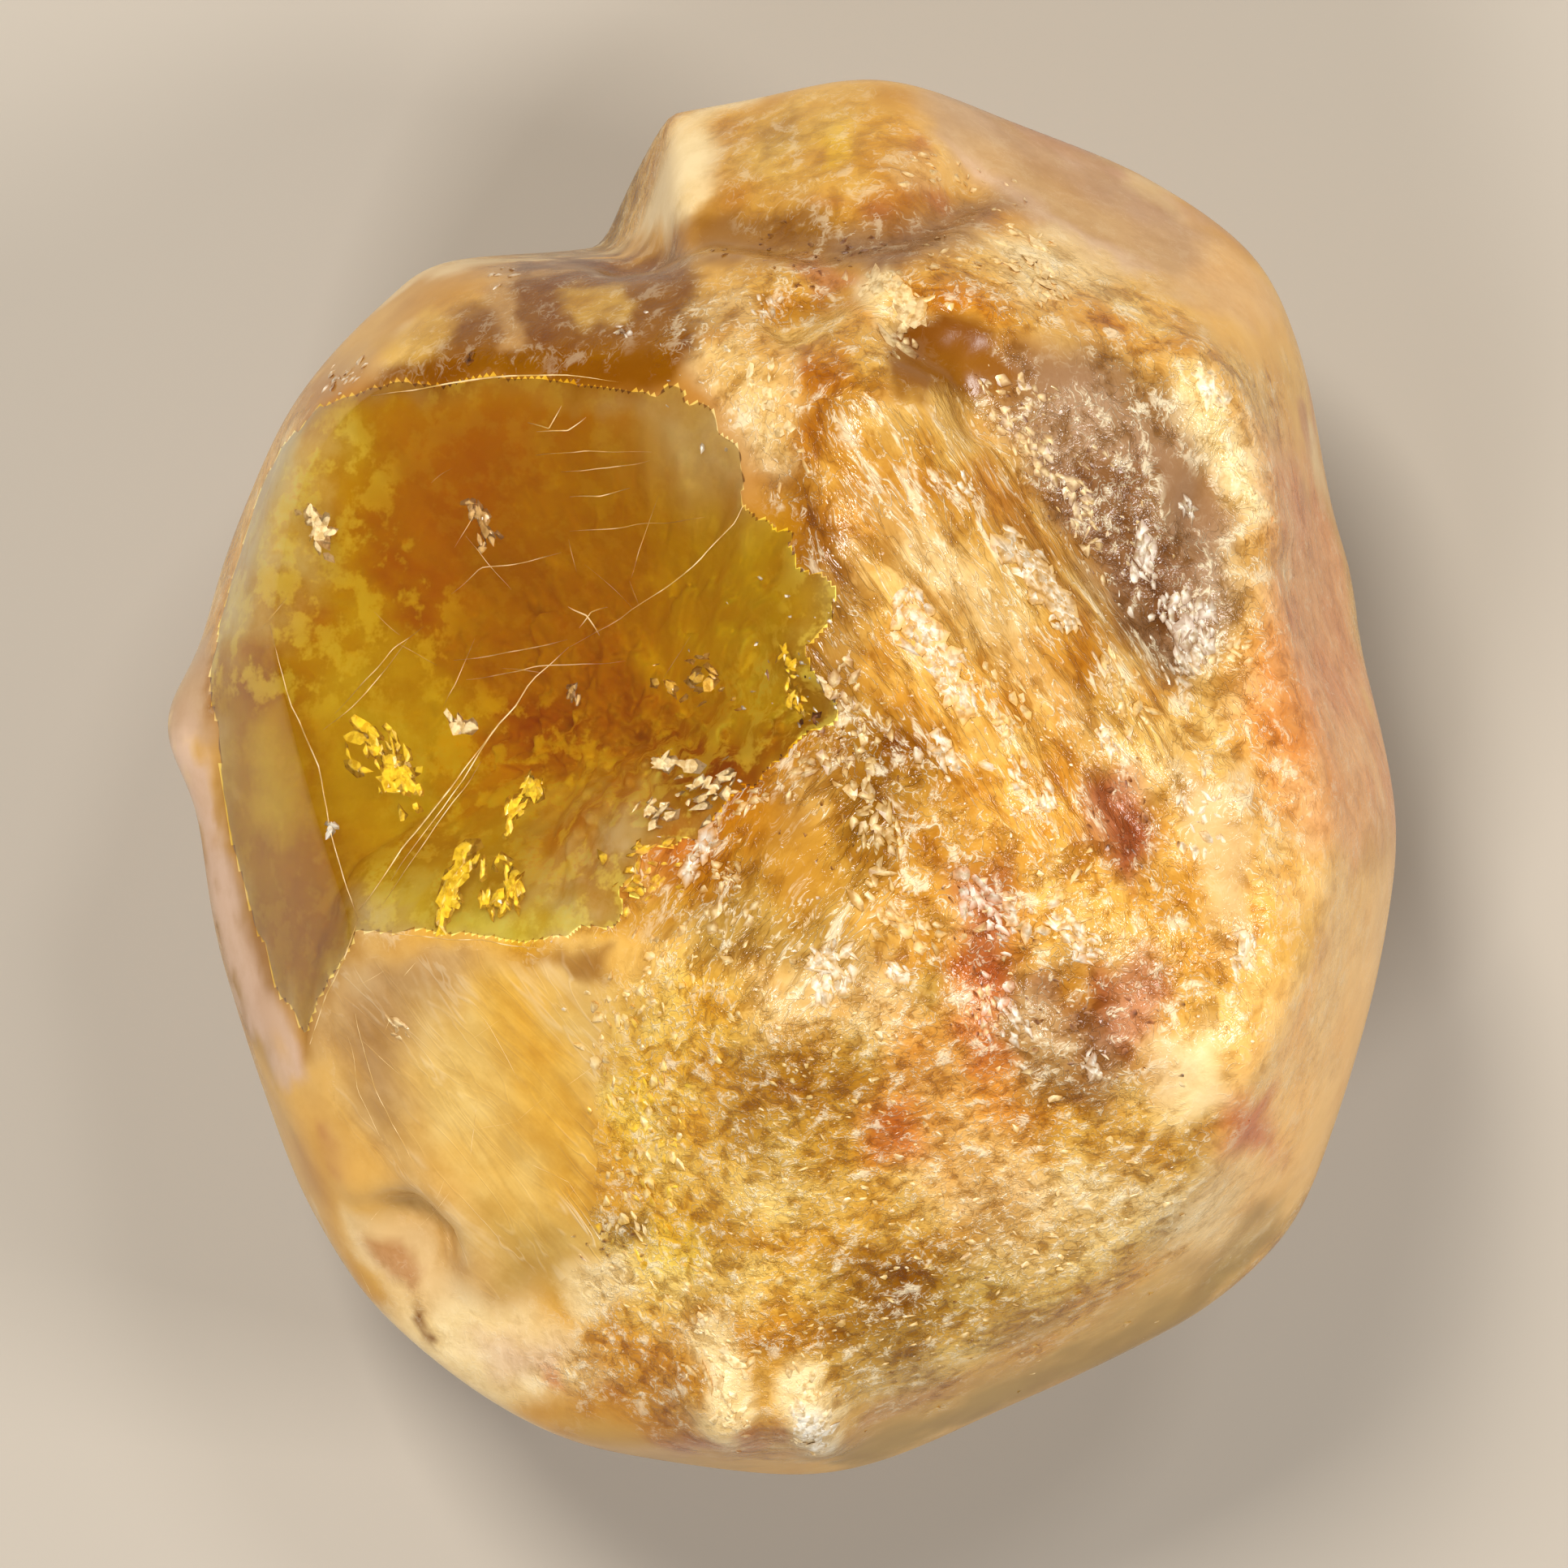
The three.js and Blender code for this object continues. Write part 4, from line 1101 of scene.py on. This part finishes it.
def flakeTints(colour, middle, draw):
    # the flake's own colour, and at its rim more of the colour of the stone around it
    corners, count = flake["corners"], len(middle)
    tints = np.tile(linear(*palette[colour]), (count, corners + 2, 1))
    tints = tints * draw.uniform(*flake["brightness"], (count, 1, 1))
    sway = wander(middle)
    share = (flake["rimBlend"] * (1 - 0.8 * clearShare(cloudDepth(middle, sway))))[:, None, None]
    tints[:, :corners] = tints[:, :corners] * (1 - share) + share * paintCloud(middle, sway)[:, None]
    return tints.reshape(-1, 3)


def makeFlakes(material):
    # each flake is a ragged six-cornered plate: a rim on a stretched circle, and a point above and below it
    draw = np.random.default_rng(flake["seed"])
    corners = flake["corners"]
    points, colours = [], []
    for path, spread, count, sizes, deepest, colour in flakeSwarms:
        x, y = (values + draw.normal(0, spread, count) for values in alongPath(path, draw.random(count)))
        middle, normal = sink(*px((x, y))[0], draw.uniform(0, deepest, count))
        size = draw.uniform(*sizes, count) * flake["growth"]
        up = unit(normal + draw.normal(0, flake["lean"], (count, 3)))
        (startX, startY), (endX, endY) = path[0], path[-1]
        run = math.atan2(startY - endY, endX - startX) + draw.normal(0, flake["turn"], count)
        side = unit(np.cross(up, np.stack([-np.sin(run), np.cos(run), 0 * run], -1)))
        other = np.cross(up, side)
        skew = draw.uniform(-flake["skew"], flake["skew"], (count, corners))
        angle = np.arange(corners) * math.tau / corners + skew
        out = size[:, None] * draw.uniform(*flake["ragged"], (count, corners))
        width = draw.uniform(*flake["widths"], (count, 1))
        rim = (middle[:, None] + (out * np.cos(angle))[..., None] * side[:, None]
               + (width * out * np.sin(angle))[..., None] * other[:, None])
        rise = (size * flake["thickness"])[:, None] * up
        points.append(np.concatenate([rim, (middle + rise)[:, None], (middle - rise)[:, None]], axis=1))
        colours.append(flakeTints(colour, middle, draw))
    points = np.concatenate(points)
    # nothing stands more than a little proud of the skin
    length = np.linalg.norm(points, axis=-1)
    directions = points / length[..., None]
    points = directions * np.minimum(length, skinReach(directions) + flake["proud"])[..., None]
    ring = np.arange(corners)
    after = (ring + 1) % corners
    top = np.stack([ring, after, np.full(corners, corners)], -1)
    bottom = np.stack([after, ring, np.full(corners, corners + 1)], -1)
    faces = np.concatenate([top, bottom])[None] + (np.arange(len(points)) * (corners + 2))[:, None, None]
    piece = addMesh("crystal_flakes", points.reshape(-1, 3), faces.reshape(-1, 3), material, smooth=False)
    addTint(piece, "tint", np.concatenate(colours))
    stage("%d flakes" % len(points))


# Hairlines: half width in mm, pixels that each one passes
healedCracks = [
    (0.022, ((440, 1122), (500, 1040), (560, 965), (605, 900))),
    (0.018, ((480, 1085), (540, 1000), (610, 895), (660, 830), (700, 795))),
    (0.014, ((700, 795), (790, 745), (860, 690), (905, 640), (930, 590))),
    (0.012, ((470, 1110), (550, 1000), (590, 940))),
    (0.018, ((330, 770), (350, 840), (385, 930), (405, 1010), (425, 1090), (440, 1130))),
    (0.02, ((440, 1130), (425, 1180), (400, 1230), (375, 1300))),
    (0.016, ((440, 1148), (520, 1152), (620, 1162), (740, 1170))),
    (0.011, ((560, 812), (640, 800), (700, 788))),
    (0.011, ((575, 835), (660, 822), (770, 812))),
    (0.012, ((555, 730), (590, 700), (650, 690), (690, 680))),
    (0.014, ((700, 612), (740, 610), (775, 602))),
    (0.011, ((690, 580), (750, 578), (800, 565))),
    (0.011, ((700, 655), (770, 650), (840, 640))),
    (0.011, ((660, 560), (720, 552), (800, 556))),
    (0.016, ((648, 520), (672, 528), (690, 500))),
    (0.016, ((660, 532), (700, 530), (722, 512))),
    (0.018, ((700, 745), (722, 755), (738, 780))),
    (0.014, ((712, 770), (728, 752), (750, 748))),
    (0.011, ((400, 900), (450, 850), (500, 790))),
    (0.011, ((410, 880), (480, 800), (520, 770))),
    (0.02, ((455, 488), (520, 478), (600, 466), (700, 462), (770, 472))),
    (0.012, ((320, 775), (335, 755), (350, 735))),
]

longScratches = [
    (0.009, ((430, 1190), (448, 1300), (500, 1420), (560, 1540))),
    (0.007, ((415, 1230), (440, 1340), (490, 1450))),
    (0.006, ((520, 1180), (600, 1260), (690, 1420))),
]

hairline = {
    "crackDepth": 0.005,            # mm below the skin
    "scratchDepth": 0.003,
    "thinner": 0.75,                # all half widths are multiplied by this
    "steps": 24,
    "wander": 0.05,                 # mm
    "breakScale": 2500.0,           # changes of colour to a metre
    "darkColour": (0.62, 0.36, 0.08, 1),
    "paleColour": (1.0, 0.74, 0.36, 1),
    "seed": 5,
}

# Short polish scratches strewn over the golden face, and fewer of them over the window
shortScratches = {
    "count": 34,
    "onFace": 0.65,                           # share of them that is on the face
    "face": ((430, 700), (1200, 1560)),       # x and y in pixels
    "window": ((420, 860), (520, 900)),
    "turn": (1.05, 0.5),                      # mean and spread in radians
    "lengths": (25, 110),                     # pixels
    "halfWidths": (0.004, 0.008),             # mm
}


def makeHairlineMaterial():
    material, tree, place = newMaterial("healed_cracks")
    breaks = ramp(tree, noise(tree, place, hairline["breakScale"], 2.0), 0.4, 0.62)
    colour = mixColours(tree, breaks, hairline["darkColour"], hairline["paleColour"])
    shader = addNode(tree, "ShaderNodeBsdfPrincipled", **{"Base Color": colour})
    shader.inputs["Roughness"].default_value = 0.3
    addNode(tree, "ShaderNodeOutputMaterial", Surface=shader.outputs[0])
    return material


def tubeAlong(path, halfWidth):
    # a square profile carried along the path, thin at both ends, with a flat end at each
    steps = len(path)
    run = unit(np.gradient(path, axis=0))
    side = unit(np.cross(run, (0.1, 0.0, 1.0)))
    up = np.cross(side, run)
    taper = 0.25 + 0.75 * np.sin(np.linspace(0, math.pi, steps))
    corner = np.arange(4)
    angle = corner * math.tau / 4
    ring = np.cos(angle)[None, :, None] * side[:, None] + np.sin(angle)[None, :, None] * up[:, None]
    points = (path[:, None] + halfWidth * taper[:, None, None] * ring).reshape(-1, 3)
    start = np.arange(steps - 1)[:, None] * 4
    a = (start + corner).reshape(-1)
    b = (start + (corner + 1) % 4).reshape(-1)
    walls = np.stack([a, a + 4, b + 4, b], -1)
    last = (steps - 1) * 4
    ends = np.array([[0, 1, 2, 3], [last + 3, last + 2, last + 1, last]])
    return points, np.concatenate([walls, ends])


def strewScratch(draw):
    spanX, spanY = shortScratches["face" if draw.random() < shortScratches["onFace"] else "window"]
    x, y = draw.uniform(*spanX), draw.uniform(*spanY)
    turn, length = draw.normal(*shortScratches["turn"]), draw.uniform(*shortScratches["lengths"])
    end = (x + length * math.cos(turn), y - length * math.sin(turn) * draw.choice((-1, 1)))
    return hairline["scratchDepth"], draw.uniform(*shortScratches["halfWidths"]), px((x, y), end)


def makeHairlines(material):
    draw = np.random.default_rng(hairline["seed"])
    lines = [(hairline["crackDepth"], halfWidth, px(*places)) for halfWidth, places in healedCracks]
    lines += [(hairline["scratchDepth"], halfWidth, px(*places)) for halfWidth, places in longScratches]
    lines += [strewScratch(draw) for _ in range(shortScratches["count"])]
    points, faces, count = [], [], 0
    for depth, halfWidth, corners in lines:
        x, y = alongPath(corners, np.linspace(0, 1, hairline["steps"]))
        sway = np.stack([x, y, np.full_like(x, draw.uniform(0, 20))], -1)
        x = x + hairline["wander"] * softNoise(sway, 0.5, 1.0)
        y = y + hairline["wander"] * softNoise(sway, 0.5, 7.0)
        path, _ = sink(x, y, np.full(len(x), depth))
        tubePoints, tubeFaces = tubeAlong(path, halfWidth * hairline["thinner"])
        points.append(tubePoints)
        faces.append(tubeFaces + count)
        count += len(tubePoints)
    addMesh("healed_cracks", np.concatenate(points), np.concatenate(faces), material)
    stage("%d hairlines" % len(lines))


# Floor, lights and camera
studio = {
    "floorSize": 0.9,
    "floorColour": (0.43, 0.38, 0.315, 1),
    "worldColour": (1.0, 0.94, 0.87, 1),
    "worldStrength": 0.08,
}

lamps = [
    # name, place and size in metres, power in watts, colour
    ("key", (-0.08, 0.14, 0.30), 0.08, 0.92, (1.0, 0.97, 0.92)),
    ("right", (0.24, -0.04, 0.22), 0.08, 0.52, (1.0, 0.98, 0.95)),
    ("low", (-0.10, -0.18, 0.28), 0.08, 0.5, (0.98, 0.98, 1.0)),
    ("top", (0.10, 0.16, 0.30), 0.06, 0.2, (1.0, 1.0, 1.0)),
]


def makeStudio():
    half = studio["floorSize"] / 2
    ground = float(cadLow[2])
    floorCorners = [(x * half, y * half, ground) for x, y in ((-1, -1), (1, -1), (1, 1), (-1, 1))]
    floorMesh = bpy.data.meshes.new("floor")
    floorMesh.from_pydata(floorCorners, [], [(0, 1, 2, 3)])
    floor = bpy.data.objects.new("floor", floorMesh)
    bpy.context.scene.collection.objects.link(floor)
    paper = bpy.data.materials.new("floor_paper")
    paper.use_nodes = True
    shader = paper.node_tree.nodes["Principled BSDF"]
    shader.inputs["Base Color"].default_value = studio["floorColour"]
    shader.inputs["Roughness"].default_value = 0.85
    floorMesh.materials.append(paper)
    world = bpy.data.worlds.new("studio")
    world.use_nodes = True
    background = world.node_tree.nodes["Background"].inputs
    background["Color"].default_value = studio["worldColour"]
    background["Strength"].default_value = studio["worldStrength"]
    bpy.context.scene.world = world
    for name, place, size, power, colour in lamps:
        lamp = bpy.data.lights.new(name, "AREA")
        lamp.size = size
        lamp.energy = power
        lamp.color = colour
        holder = bpy.data.objects.new(name, lamp)
        holder.location = place
        # an area lamp shines down its own z, so its z points away from the middle of the frame
        holder.rotation_euler = holder.location.to_track_quat("Z", "Y").to_euler()
        bpy.context.scene.collection.objects.link(holder)


def makeCamera():
    # straight down on the stone, as wide as the photograph's frame at the stone's middle
    camera = bpy.data.cameras.new("camera")
    frameWidth = photo["width"] * pixel * millimetre
    camera.sensor_width = 36.0
    height = photo["cameraDistance"] * millimetre
    camera.lens = camera.sensor_width * height / frameWidth
    camera.clip_start = 0.001
    holder = bpy.data.objects.new("camera", camera)
    holder.location = stoneMiddle + np.array([0.0, 0.0, height])
    bpy.context.scene.collection.objects.link(holder)
    bpy.context.scene.camera = holder


makeStudio()
makeCamera()
skinSway = wander(skinPoints)
skinDepth = cloudDepth(skinPoints, skinSway)
makeSkin(makeSkinMaterial())
makeCloud(makeCloudMaterial("cloudy_garnet", True), makeCloudMaterial("garnet_behind_clear", False))
makeFlakes(makeFlakeMaterial())
makeHairlines(makeHairlineMaterial())

scene = bpy.context.scene
scene.view_settings.view_transform = "Standard"
scene.cycles.max_bounces = 9
scene.cycles.diffuse_bounces = 5
scene.cycles.glossy_bounces = 4
scene.cycles.transmission_bounces = 8
scene.cycles.use_denoising = True

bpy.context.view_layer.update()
stage("done")
